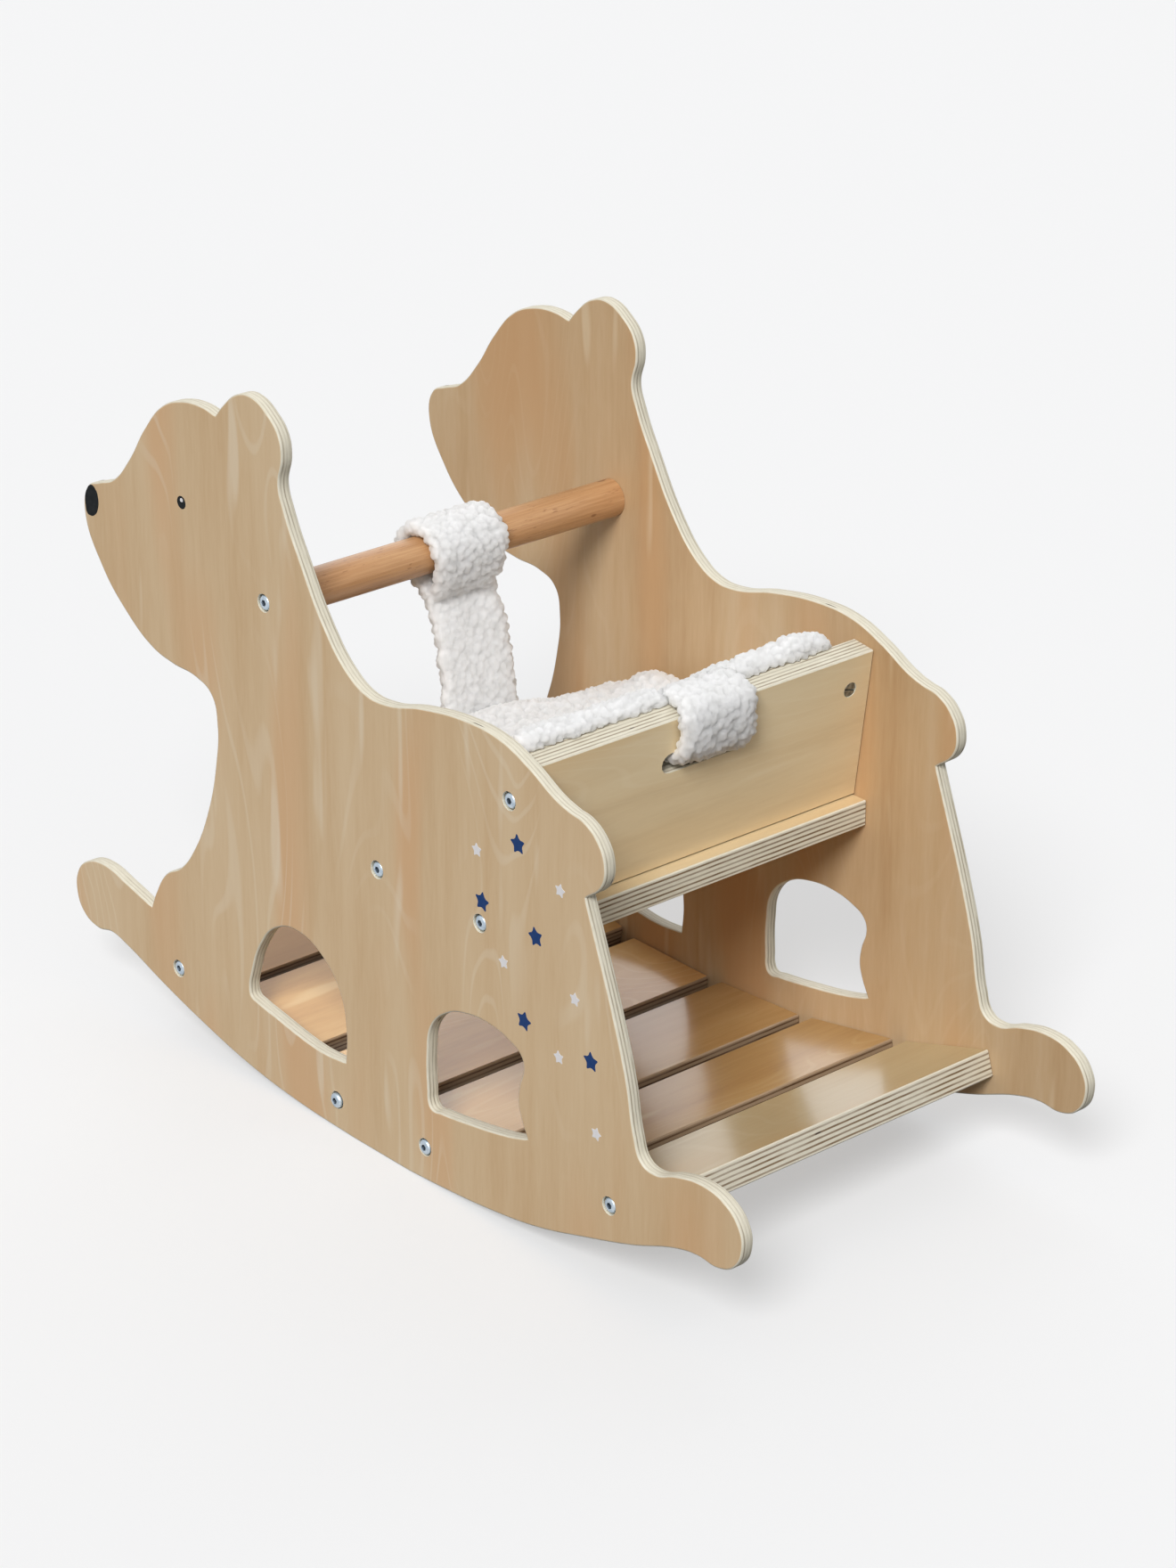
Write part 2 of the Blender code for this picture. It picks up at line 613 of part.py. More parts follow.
def make_rear_strap():
    """Strap from the back pad over the backrest's top edge and into the hand slot."""
    height = BACKREST_HEIGHT
    slot = height - HAND_SLOT_DROP
    slot_top = slot + HAND_SLOT_WIDTH / 2 - 0.0025
    slot_low = slot - HAND_SLOT_WIDTH / 2 + 0.003
    into_slot = 0.010
    behind = -STRAP - 0.001
    over = height + STRAP
    front = BOARD - GAP
    # heights along the board from its foot, and distances forward of its rear face
    places = (
        (height + FLEECE_GAP, front), (height + FLEECE_GAP, -FLEECE_GAP),
        (slot_top, -FLEECE_GAP), (slot_top, into_slot), (slot_low, into_slot),
        (slot_low, -STRAP * 0.45), (slot_low + 0.004, behind), (height * 0.85, behind - 0.001),
        (height + 0.002, behind), (over - STRAP * 0.2, -STRAP * 0.4), (over, BOARD * 0.4),
        (over, front),
    )
    outline = [backrest_point(up, forward) for up, forward in places]
    mesh = side_view_mesh("rear_strap", (with_corners(outline),), STRAP_WIDTH)
    strap = add_object("rear_strap", mesh, FLEECE)
    strap.location.x = STRAP_SHIFT
    return strap


for side_name, side_sign in SIDES:
    make_panel(side_name, side_sign)
make_seat_board()
make_backrest()
make_slats()
make_handlebar()
make_bolts()
make_barrel_nuts()
make_inserts()
make_pins()
make_liner()
make_front_strap()
make_rear_strap()
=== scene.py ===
"""Rocking bear seat, dressed for the render.

The plywood boards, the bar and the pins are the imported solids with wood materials. The side
panels, bolts and barrel nuts are finer copies of theirs, the fleece is padded and curly, and
the bear's printed marks lie on the panels' outer faces.

Metres, +Z up. The bear looks along -Y, the rider's left is +X.
"""
import json
import math

import bmesh
import bpy
from mathutils import Matrix, Vector, noise

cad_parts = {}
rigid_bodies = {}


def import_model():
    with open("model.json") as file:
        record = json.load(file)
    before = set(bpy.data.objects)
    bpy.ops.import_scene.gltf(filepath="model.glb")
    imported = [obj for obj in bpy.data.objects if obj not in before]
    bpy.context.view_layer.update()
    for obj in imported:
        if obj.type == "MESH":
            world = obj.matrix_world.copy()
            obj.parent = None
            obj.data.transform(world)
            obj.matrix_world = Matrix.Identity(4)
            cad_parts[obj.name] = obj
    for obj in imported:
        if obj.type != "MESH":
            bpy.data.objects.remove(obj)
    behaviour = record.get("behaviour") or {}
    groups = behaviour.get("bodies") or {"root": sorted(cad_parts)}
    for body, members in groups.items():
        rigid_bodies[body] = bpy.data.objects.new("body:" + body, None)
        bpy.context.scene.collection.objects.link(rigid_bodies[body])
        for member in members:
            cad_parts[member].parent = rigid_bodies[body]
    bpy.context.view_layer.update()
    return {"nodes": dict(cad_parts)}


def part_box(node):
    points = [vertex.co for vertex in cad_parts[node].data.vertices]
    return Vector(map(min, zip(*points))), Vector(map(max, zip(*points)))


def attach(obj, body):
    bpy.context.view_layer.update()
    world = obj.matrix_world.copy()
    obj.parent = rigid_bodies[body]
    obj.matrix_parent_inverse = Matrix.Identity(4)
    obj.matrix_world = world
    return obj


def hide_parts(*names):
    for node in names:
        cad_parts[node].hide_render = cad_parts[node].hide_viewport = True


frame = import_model()

SCENE = bpy.context.scene
SCENE.view_settings.view_transform = "Standard"
noise.seed_set(1)                    # for noise_vector, which follows the clock otherwise
MM = 0.001
STUDIO_WHITE = 0.913
X_AXIS = Vector((1, 0, 0))
SIDES = (("left", 1), ("right", -1))

OUTER = 0.150                        # outer face of a side panel
PANEL = 0.009
INNER = OUTER - PANEL
EDGE_ROUNDING = 0.0012
SEAT_TOP = 0.2125
SEAT_FRONT = -0.077
BACKREST_FOOT = (0.1274, 0.2130)     # its lower rear edge
BACKREST_HEIGHT = 0.1055
BACKREST_LEAN = math.radians(7.6)
BOARD = 0.018
BAR_CENTRE = (-0.1100, 0.3493)
BAR_RADIUS = 0.013

# Side view of the bear, clockwise from the nose: y and z in millimetres. A smooth curve runs
# through the points, apart from the corners. The bear is that of the solids. The windows'
# lower front corners are tighter than in the solids, as in the photograph.
CORNER = True
BEAR = (
    (-305, 356), (-300, 374.5), (-286, 381), (-270.5, 387), (-251, 406.5), (-233, 431.5),
    (-212.5, 452.5), (-192, 461.5), (-168, 464), (-154.5, 461.8, CORNER), (-146, 471),
    (-132, 481.5), (-116, 484.2), (-100, 477), (-89, 465.5), (-86.5, 452), (-90.8, 433),
    (-86, 418), (-70, 387.5), (-48, 352), (-27.5, 330), (-8, 320), (12, 319.6), (47, 328.2),
    (90, 334), (122, 332.2), (148, 323), (172, 311), (184, 307.4), (198, 304.6), (210, 296),
    (216, 283), (213.5, 269), (198.5, 256, CORNER), (209, 228), (224, 187), (236, 148), (243, 114),
    (249, 100.5), (260, 97.3), (280, 104), (302, 108), (322, 104.2), (335, 93), (338, 79),
    (331, 64.5), (317, 58), (300, 58.6), (285, 56.2), (240, 39.5), (198, 26.4), (152, 13.6),
    (104, 6), (60, 2), (26, 0, CORNER), (-32, 0, CORNER), (-90, 2.4), (-142, 8.6), (-192, 19.6),
    (-240, 33), (-280, 46), (-297, 49.6), (-315, 46.8), (-331, 53), (-338, 66.5), (-335.5, 83),
    (-323, 94.5), (-302, 99), (-277, 94), (-248.5, 87, CORNER), (-243, 99), (-230, 118),
    (-212, 129.3), (-197, 147), (-179, 182), (-168, 220), (-165, 248), (-170, 267), (-186, 274.3),
    (-212, 276), (-234, 280.5), (-262, 297), (-288, 322),
)
FRONT_WINDOW = (
    (-139.2, 66), (-136, 81), (-126, 104), (-109, 122.4), (-84.5, 129), (-59.4, 120.6),
    (-41.5, 101), (-36, 76), (-37.4, 52.5, CORNER), (-62, 50.6), (-82.5, 52.1), (-111, 56.6),
    (-132, 60.2), (-137.6, 61.9),
)
REAR_WINDOW = (
    (50.6, 54.9), (48, 58.4), (47.4, 67), (47.2, 92), (51.2, 113.3), (67.7, 129.2), (88, 136.2),
    (110, 137.3), (128, 133.4), (138, 128), (140.8, 121), (136.6, 105.5), (135.4, 95),
    (137.6, 85.8), (144.2, 72.2, CORNER), (125.4, 66.7), (82, 58.6), (60, 55.6),
)


# Node trees

def srgb(red, green, blue):
    """A linear colour from screen values of 0 to 255."""
    linear = []
    for value in (red, green, blue):
        share = value / 255
        linear.append(share / 12.92 if share <= 0.04045 else ((share + 0.055) / 1.055) ** 2.4)
    return tuple(linear) + (1.0,)


class Nodes:
    """A node tree, with one short call for each node."""

    def __init__(self, tree):
        self.nodes = tree.nodes
        self.links = tree.links

    def fill(self, node, inputs):
        """Put values and links in a node's inputs, which go by name or number."""
        for key, value in inputs.items():
            if isinstance(value, bpy.types.NodeSocket):
                self.links.new(value, node.inputs[key])
            else:
                node.inputs[key].default_value = value

    def add(self, kind, inputs, **settings):
        """The outputs of a new node."""
        node = self.nodes.new("ShaderNode" + kind)
        for name, value in settings.items():
            setattr(node, name, value)
        self.fill(node, inputs)
        return node.outputs

    def math(self, operation, *values):
        return self.add("Math", dict(enumerate(values)), operation=operation)[0]

    def product(self, first, second):
        return self.math("MULTIPLY", first, second)

    def times(self, vector, factors):
        return self.add("VectorMath", {0: vector, 1: factors}, operation="MULTIPLY")[0]

    def dot(self, vector, axis):
        return self.add("VectorMath", {0: vector, 1: axis}, operation="DOT_PRODUCT")["Value"]

    def split(self, vector):
        return self.add("SeparateXYZ", {0: vector})

    def join(self, *values):
        return self.add("CombineXYZ", dict(enumerate(values)))[0]

    def noise(self, vector, scale, detail=2.0, roughness=0.5, distortion=0.0):
        return self.add("TexNoise", {"Vector": vector, "Scale": scale, "Detail": detail,
                                     "Roughness": roughness, "Distortion": distortion})["Fac"]

    def streaks(self, vector, along, scale, *shape):
        """Noise drawn out along X."""
        return self.noise(self.times(vector, (along, 1.0, 1.0)), scale, *shape)

    def step(self, value, low, high, start=0.0, end=1.0):
        """A smooth change from start to end while value goes from low to high."""
        return self.add("MapRange", dict(enumerate((value, low, high, start, end))),
                        interpolation_type="SMOOTHSTEP")[0]

    def mix(self, factor, first, second, blend="MIX"):
        return self.add("Mix", {0: factor, 6: first, 7: second}, data_type="RGBA",
                        blend_type=blend)[2]

    def ramp(self, value, stops):
        node = self.nodes.new("ShaderNodeValToRGB")
        self.fill(node, {0: value})
        elements = node.color_ramp.elements
        for element, (place, tone) in zip((elements[0], elements[1]), (stops[0], stops[-1])):
            element.position = place
            element.color = tone
        for place, tone in stops[1:-1]:
            elements.new(place).color = tone
        return node.outputs[0]

    def bump(self, height, distance, strength, **under):
        return self.add("Bump", {"Strength": strength, "Distance": distance, "Height": height,
                                 **under})[0]

    def studio_rays(self):
        """1 for rays of the camera, of reflections and through glass, which see a white studio."""
        path = self.add("LightPath", {})
        seen = self.math("MAXIMUM", path["Is Camera Ray"], path["Is Glossy Ray"])
        return self.math("MAXIMUM", seen, path["Is Transmission Ray"])


# Camera, light and floor

def link(obj):
    SCENE.collection.objects.link(obj)
    return obj


def make_camera():
    """The photograph's camera, fitted to the outlines of both panels."""
    data = bpy.data.cameras.new("camera")
    data.lens = 99.44
    data.sensor_width = 36.0
    data.clip_end = 100.0
    camera = link(bpy.data.objects.new("camera", data))
    right = Vector((-0.7558, 0.6548, 0.0)).normalized()
    up = Vector((-0.2687, -0.3101, 0.9119)).normalized()
    turn = Matrix((right, up, right.cross(up))).transposed().to_4x4()
    camera.matrix_world = Matrix.Translation((1.650, 1.9325, 1.3614)) @ turn
    SCENE.camera = camera


def add_lamp(name, energy, travel, angle):
    """A soft, far lamp whose light travels in the given direction."""
    data = bpy.data.lights.new(name, "SUN")
    data.energy = energy
    data.angle = math.radians(angle)
    lamp = link(bpy.data.objects.new(name, data))
    lamp.rotation_euler = Vector(travel).to_track_quat("-Z", "Y").to_euler()


def make_light():
    """A key from above, behind and the rider's left, two weak fills, and a pale sky."""
    add_lamp("key", 2.64, (-0.62, -0.42, -0.66), 23)
    add_lamp("rear_fill", 0.42, (-0.25, -0.85, -0.45), 60)
    add_lamp("front_fill", 0.80, (0.60, 0.60, -0.53), 60)
    SCENE.world = bpy.data.worlds.new("studio")
    SCENE.world.use_nodes = True
    world = Nodes(SCENE.world.node_tree)
    height = world.split(world.add("TexCoord", {})["Generated"])["Z"]
    sky = world.add("MapRange", {"Value": height, "To Min": 0.03, "To Max": 0.50})[0]
    strength = world.add("Mix", {0: world.studio_rays(), 2: sky, 3: STUDIO_WHITE})[0]
    world.fill(world.nodes["Background"], {"Color": (1.0, 1.0, 1.0, 1.0), "Strength": strength})


def make_floor():
    """A plain white floor with a soft shadow, which throws back less light than it shows."""
    bm = bmesh.new()
    bmesh.ops.create_grid(bm, x_segments=1, y_segments=1, size=20.0)
    mesh = bpy.data.meshes.new("floor")
    bm.to_mesh(mesh)
    bm.free()
    material = bpy.data.materials.new("floor_paint")
    material.use_nodes = True
    paint = Nodes(material.node_tree)
    paint.nodes.remove(paint.nodes["Principled BSDF"])
    rays = paint.studio_rays()
    tone = paint.mix(rays, (0.10, 0.10, 0.10, 1.0), (0.84, 0.845, 0.855, 1.0))
    diffuse = paint.add("BsdfDiffuse", {"Color": tone})[0]
    white = paint.add("Emission", {"Strength": STUDIO_WHITE})[0]
    surface = paint.add("MixShader", {0: paint.product(rays, 0.5), 1: diffuse, 2: white})[0]
    paint.fill(paint.nodes["Material Output"], {"Surface": surface})
    mesh.materials.append(material)
    link(bpy.data.objects.new("floor", mesh))


# Materials

class Finish(Nodes):
    """A material, drawn by places and directions in the object's own space."""

    def __init__(self, name):
        self.material = bpy.data.materials.new(name)
        self.material.use_nodes = True
        super().__init__(self.material.node_tree)
        space = self.add("TexCoord", {})
        self.place = space["Object"]
        self.facing = space["Normal"]

    def place_from(self, centre, turn=Matrix.Identity(3)):
        """The place along a board's own axes, from its centre."""
        return self.add("Mapping", {"Vector": self.place, "Location": centre,
                                    "Rotation": turn.to_euler()}, vector_type="TEXTURE")[0]

    def finish(self, colour, roughness, normal, others):
        self.fill(self.nodes["Principled BSDF"], {"Base Color": colour, "Roughness": roughness,
                                                  "Normal": normal, **others})
        return self.material


def plywood(name, centre, turn, thickness, plies, tones, seed, gloss, figure, edge_shade=0.0,
            contrast=(0.12, 0.62)):
    """Veneered plywood. In the board's own axes X is the grain and Z goes through the board."""
    wood = Finish(name)
    along, across, through = wood.split(wood.place_from(centre, turn))
    grain_axis, _, through_axis = turn.transposed()
    flat = wood.step(wood.math("ABSOLUTE", wood.dot(wood.facing, through_axis)), 0.86, 0.97)

    # the veneer: broad and narrow bands, fine pores, curved growth lines and pale lenses
    sheet = wood.product(wood.math("SIGN", through), 0.31 + seed)
    veneer = wood.join(along, across, sheet)
    areas = wood.streaks(veneer, 0.30, 10.0, 1.0)
    bands = wood.streaks(veneer, 0.05, 60.0, 2.0, 0.5)
    flecks = wood.streaks(veneer, 0.10, 330.0, 2.0, 0.6)
    pores = wood.streaks(veneer, 0.05, 1500.0, 1.0)
    hills = wood.streaks(veneer, 0.26, 9.0, 1.5, 0.4, 0.5)
    rings = wood.step(wood.math("SINE", wood.product(hills, 190.0)), 0.70, 1.0)
    rings = wood.product(rings, wood.step(areas, 0.47, 0.58))
    tone = wood.math("MULTIPLY_ADD", bands, 0.42, 0.29)
    for detail, weight in ((areas, 0.60), (flecks, 0.20), (pores, 0.10)):
        tone = wood.math("MULTIPLY_ADD", detail, weight, wood.math("SUBTRACT", tone, weight / 2))
    dark, middle_tone, light, pale, warm = tones
    face = wood.ramp(tone, ((0.22, dark), (0.50, middle_tone), (0.78, light)))
    warmth = wood.streaks(veneer, 0.20, 17.0, 1.0)
    face = wood.mix(wood.step(warmth, 0.50, 0.74, 0.0, 0.75), face, warm)
    face = wood.mix(wood.product(rings, 0.30 * figure), face, pale)
    lens = wood.streaks(veneer, 0.13, 62.0, 1.0)
    face = wood.mix(wood.step(lens, 0.66, 0.78, 0.0, 0.55), face, pale)

    # the edge: light long-grain plies between darker end-grain ones
    drift = wood.noise(wood.place, 55.0, 1.0)
    layer = wood.math("MULTIPLY_ADD", through, plies / thickness, plies / 2 - 0.5 - 0.24 / 2)
    layer = wood.math("MULTIPLY_ADD", drift, 0.24, layer)
    wave = wood.math("COSINE", wood.product(layer, math.pi))
    ply = wood.math("ROUND", layer)
    strength = wood.noise(wood.join(along, across, wood.product(ply, 0.37)), 22.0)
    strength = wood.step(strength, 0.34, 0.62, *contrast)
    end_grain = wood.math("ABSOLUTE", wood.dot(wood.facing, grain_axis))
    strength = wood.product(strength, wood.step(end_grain, 0.25, 0.95, 1.0, 0.45))
    dark_ply = wood.product(wood.step(wave, -0.75, -0.05, 1.0, 0.0), strength)
    fibres = wood.join(along, across, wood.product(through, 30.0))
    fibres = wood.noise(fibres, 130.0, 3.0, 0.7)
    edge = wood.mix(wood.step(fibres, 0.30, 0.70), srgb(210, 203, 182), srgb(229, 224, 208))
    edge_dark = wood.mix(wood.step(fibres, 0.35, 0.65), srgb(104, 80, 54), srgb(142, 120, 90))
    edge = wood.mix(dark_ply, edge, edge_dark)
    knots = wood.join(*(wood.product(part, share)
                        for part, share in ((along, 0.5), (across, 0.5), (ply, 0.53))))
    knots = wood.step(wood.noise(knots, 95.0, 0.0), 0.79, 0.83)
    knots = wood.product(knots, wood.step(wave, -0.9, -0.3, 1.0, 0.0))
    edge = wood.mix(knots, edge, srgb(62, 44, 34))
    # painted shade: the slats' edges are darkened as if they lay in the gaps between slats
    edge = wood.mix(edge_shade, edge, srgb(160, 116, 66), "MULTIPLY")

    colour = wood.mix(flat, edge, face)
    roughness = wood.step(flat, 0.0, 1.0, 0.62, 0.42 - 0.25 * gloss)
    relief = wood.math("MULTIPLY_ADD", pores, 0.5, wood.product(flecks, 0.5))
    edge_relief = wood.math("MULTIPLY_ADD", wave, 0.5, fibres)
    normal = wood.bump(wood.mix(flat, edge_relief, relief), 0.00006, 0.5)
    return wood.finish(colour, roughness, normal,
                       {"Specular IOR Level": 0.2, "Coat Weight": gloss,
                        "Coat Roughness": 0.22 - 0.11 * gloss})


def beech(name, centre):
    """Oiled beech, its grain along X, with the short dark flecks of its rays."""
    wood = Finish(name)
    place = wood.place_from(centre)
    bands = wood.streaks(place, 0.10, 130.0, 3.0, 0.6)
    lines = wood.streaks(place, 0.03, 900.0)
    tone = wood.math("MULTIPLY_ADD", lines, 0.4, wood.product(bands, 0.6))
    colour = wood.ramp(tone, ((0.30, srgb(166, 120, 76)), (0.52, srgb(188, 142, 98)),
                              (0.72, srgb(204, 162, 118))))
    flecks = wood.step(wood.streaks(place, 0.16, 950.0, 1.0), 0.63, 0.72)
    flecks = wood.product(flecks, wood.step(wood.streaks(place, 0.6, 45.0, 1.0), 0.44, 0.60))
    colour = wood.mix(wood.product(flecks, 0.55), colour, srgb(132, 84, 52))
    knots = wood.streaks(place, 0.35, 120.0, 1.0)
    colour = wood.mix(wood.step(knots, 0.76, 0.80, 0.0, 0.7), colour, srgb(120, 72, 42))
    roughness = wood.step(lines, 0.3, 0.7, 0.36, 0.48)
    return wood.finish(colour, roughness, wood.bump(lines, 0.00008, 0.5),
                       {"Coat Weight": 0.15, "Coat Roughness": 0.2})


def steel(name, tone, light):
    """Plated steel with a cloudy tint and fine handling marks."""
    metal = Finish(name)
    clouds = metal.noise(metal.place, 320.0, 3.0)
    marks = metal.noise(metal.times(metal.place, (1.0, 1.0, 0.15)), 2600.0)
    colour = metal.ramp(clouds, ((0.30, tone), (0.72, light)))
    roughness = metal.step(marks, 0.3, 0.7, 0.34, 0.50)
    return metal.finish(colour, roughness, metal.bump(marks, 0.00003, 0.4), {"Metallic": 1.0})


def ink(name, tone, worn):
    """A matt print on the veneer, thinner where the grain stands up."""
    film = Finish(name)
    grain = film.noise(film.times(film.place, (1.0, 1.0, 0.05)), 900.0)
    colour = film.mix(film.step(grain, 0.50, 0.85, 0.0, 0.30), tone, worn)
    roughness = film.step(film.noise(film.place, 260.0), 0.3, 0.7, 0.50, 0.64)
    return film.finish(colour, roughness, film.bump(grain, 0.00004, 0.5),
                       {"Specular IOR Level": 0.12})


def fleece_finish(name, tone, shade):
    """White sherpa fleece: a soft, light-filled pile over its curls."""
    wool = Finish(name)
    nap = wool.noise(wool.place, 1100.0, 3.0, 0.6)
    curls = wool.add("TexVoronoi", {"Vector": wool.place, "Scale": 230.0, "Smoothness": 0.6},
                     feature="SMOOTH_F1")["Distance"]
    colour = wool.mix(wool.step(wool.noise(wool.place, 90.0), 0.30, 0.75), tone, shade)
    soft = wool.bump(wool.product(curls, -1.0), 0.0012, 0.26)
    roughness = wool.step(nap, 0.3, 0.7, 0.88, 1.0)
    return wool.finish(colour, roughness, wool.bump(nap, 0.0002, 0.3, Normal=soft),
                       {"Subsurface Weight": 1.0, "Subsurface Radius": (1.0, 1.0, 1.0),
                        "Subsurface Scale": 0.014, "Sheen Weight": 0.35,
                        "Sheen Roughness": 0.6, "Specular IOR Level": 0.1})


def veneer_tones(*screen):
    """A veneer's dark, middle, light, pale and warm tones."""
    return [srgb(*tone) for tone in screen]


# the far (right) panel's tones are darker and more orange than the near one's: partly its own
# veneer, partly painted shade
PANEL_TONES = {
    "left": veneer_tones((203, 168, 125), (216, 188, 150), (224, 200, 165), (234, 218, 192),
                         (217, 174, 130)),
    "right": veneer_tones((182, 146, 105), (199, 169, 131), (208, 184, 150), (220, 200, 168),
                          (200, 157, 112)),
}
BOARD_TONES = veneer_tones((212, 186, 144), (228, 206, 166), (235, 217, 180), (238, 222, 190),
                           (228, 200, 154))
# the slats under the seat have darker, more orange tones than the rear slat: painted shade
SLAT_TONES = veneer_tones((160, 120, 72), (184, 146, 94), (196, 162, 112), (206, 180, 134),
                          (182, 138, 86))
REAR_SLAT_TONES = veneer_tones((179, 154, 112), (195, 174, 133), (205, 188, 148),
                               (214, 200, 166), (197, 169, 125))
# how much lighter or darker each board is drawn than its tones, as painted light and shade, and
# how much varnish lies on it
BOARD_LIGHT_SHARES = {"seat_board": 0.90, "floor_slat_1": 1.28, "floor_slat_2": 1.30,
                "floor_slat_3": 1.55, "floor_slat_4": 1.08}
BOARD_GLOSS = {"seat_board": 0.1, "backrest": 0.1, "floor_slat_2": 0.65, "floor_slat_3": 0.65,
               "floor_slat_4": 0.65, "floor_slat_5": 0.42}
USUAL_GLOSS = 0.55


# Wooden pieces and fasteners

def applied(obj):
    """The object's mesh with its modifiers applied. The object goes."""
    bpy.context.view_layer.update()
    graph = bpy.context.evaluated_depsgraph_get()
    mesh = bpy.data.meshes.new_from_object(obj.evaluated_get(graph))
    bpy.data.objects.remove(obj, do_unlink=True)
    return mesh


def finished(bm):
    bmesh.ops.recalc_face_normals(bm, faces=bm.faces)
    mesh = bpy.data.meshes.new("piece")
    bm.to_mesh(mesh)
    bm.free()
    return mesh


def add_piece(name, mesh, material, slot, *nodes):
    mesh.materials.clear()
    mesh.materials.append(material)
    mesh.name = name
    piece = link(bpy.data.objects.new(name, mesh))
    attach(piece, "root")
    if nodes:
        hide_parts(*nodes)
    return piece


def circle(count):
    """Cosine and sine at even steps round a circle."""
    angles = [2 * math.pi * index / count for index in range(count)]
    return [(math.cos(angle), math.sin(angle)) for angle in angles]


def turned(profile, segments):
    """A closed solid turned round X from points (x, radius) that start and end on the axis."""
    bm = bmesh.new()
    rings = [[bm.verts.new((x, radius * cosine, radius * sine))
              for cosine, sine in circle(segments if radius else 1)] for x, radius in profile]
    for first, second in zip(rings, rings[1:]):
        for index in range(segments):
            after = index + 1
            corners = (first[index % len(first)], first[after % len(first)],
                       second[after % len(second)], second[index % len(second)])
            bm.faces.new(dict.fromkeys(corners))
    return finished(bm)


def cut(mesh, cutters, operation="DIFFERENCE"):
    """Cut the cutter meshes out of a mesh, or keep what it has in common with them."""
    group = bpy.data.collections.new("cutters")
    SCENE.collection.children.link(group)
    for cutter in cutters:
        group.objects.link(bpy.data.objects.new("cutter", cutter))
    solid = link(bpy.data.objects.new("solid", mesh))
    boolean = solid.modifiers.new("cut", "BOOLEAN")
    boolean.operation = operation
    boolean.operand_type = "COLLECTION"
    boolean.collection = group
    boolean.solver = "EXACT"
    result = applied(solid)
    for part in list(group.objects):
        bpy.data.objects.remove(part, do_unlink=True)
    bpy.data.collections.remove(group)
    return result


def shade(mesh, axis, sharp=35):
    """Smooth shading, with the faces across the axis kept flat."""
    bm = bmesh.new()
    bm.from_mesh(mesh)
    for face in bm.faces:
        face.smooth = True
    for edge in bm.edges:
        if len(edge.link_faces) == 2:
            first, second = (abs(face.normal.dot(axis)) > 0.9995 for face in edge.link_faces)
            steep = edge.calc_face_angle(0.0) > math.radians(sharp)
            edge.smooth = first == second and not steep
    bm.to_mesh(mesh)
    bm.free()
    return mesh


def panel_mesh(sign, grow=0.0):
    """A side panel with rounded edges, before it is drilled, or a skin that lies round it."""
    curve = bpy.data.curves.new("outline", "CURVE")
    curve.dimensions = "2D"
    curve.fill_mode = "BOTH"
    curve.extrude = (PANEL + 2 * grow) / 2 - EDGE_ROUNDING
    curve.bevel_depth = EDGE_ROUNDING
    curve.bevel_resolution = 2
    curve.offset = grow - EDGE_ROUNDING
    curve.resolution_u = 9
    for outline in (BEAR, FRONT_WINDOW, REAR_WINDOW):
        spline = curve.splines.new("BEZIER")
        spline.bezier_points.add(len(outline) - 1)
        spline.use_cyclic_u = True
        for point, (y, z, *corner) in zip(spline.bezier_points, outline):
            point.co = (y * MM, z * MM, 0.0)
            point.handle_left_type = point.handle_right_type = "VECTOR" if corner else "AUTO"
    mesh = applied(link(bpy.data.objects.new("outline", curve)))
    mesh.transform(Matrix(((0, 0, 1, 0), (1, 0, 0, 0), (0, 1, 0, 0), (0, 0, 0, 1))))
    bm = bmesh.new()
    bm.from_mesh(mesh)
    bmesh.ops.remove_doubles(bm, verts=bm.verts, dist=0.00001)
    mesh = finished(bm)
    mesh.transform(Matrix.Translation((sign * (INNER + PANEL / 2), 0, 0)))
    return mesh


def middle(node):
    low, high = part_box(node)
    return (low + high) / 2


def at_node(mesh, node):
    """Move a mesh on the X axis sideways to a node's axis."""
    _, y, z = middle(node)
    mesh.transform(Matrix.Translation((0, y, z)))
    return mesh


def rod(start, end, radius):
    """Profile of a plain rod on the X axis."""
    return (start, 0.0), (start, radius), (end, radius), (end, 0.0)


BOLTS = [name for name in frame["nodes"] if name.startswith("bolt_")]
NUTS = [name for name in frame["nodes"] if name.startswith("nut_")]
PINS = [name for name in frame["nodes"] if name.startswith("pin_")]

PAST = 0.002                         # how far a cutter reaches past what it cuts
HEAD_DEPTH = 0.0034
SHANK_HOLE = 0.0034                  # radii
HEAD_HOLE = 0.0060
BOLT_HOLE = ((-PAST, 0.0), (-PAST, SHANK_HOLE), (PANEL - HEAD_DEPTH, SHANK_HOLE),
             (PANEL - HEAD_DEPTH, HEAD_HOLE), (PANEL - 0.0002, HEAD_HOLE), (PANEL, 0.0062),
             (PANEL + PAST, 0.0062), (PANEL + PAST, 0.0))
PIN_HOLE = rod(-PAST, 0.0068, 0.0043)


def make_panel(side, sign):
    """A side panel with its veneer. The far one has its own sheet, with fewer growth lines, and
    darker, more orange tones that are partly painted shade.
    """
    cutters = []
    for nodes, profile, segments in ((BOLTS, BOLT_HOLE, 40), (PINS, PIN_HOLE, 16)):
        profile = [(sign * (INNER + x), radius) for x, radius in profile]
        cutters += [at_node(turned(profile, segments), node)
                    for node in nodes if node.endswith(side)]
    mesh = shade(cut(panel_mesh(sign), cutters), X_AXIS)
    turn = Matrix(((0, 0, 1), (0, -1, 0), (1, 0, 0)))
    seed, figure = (0.0, 1.0) if sign > 0 else (5.0, 0.3)
    finish = plywood(f"panel_ply_{side}", (sign * (INNER + PANEL / 2), 0.0, 0.24), turn, PANEL, 7,
                     PANEL_TONES[side], seed, 0.0, figure)
    add_piece(f"side_panel_{side}", mesh, finish, "panel_veneer", f"panel_{side}")


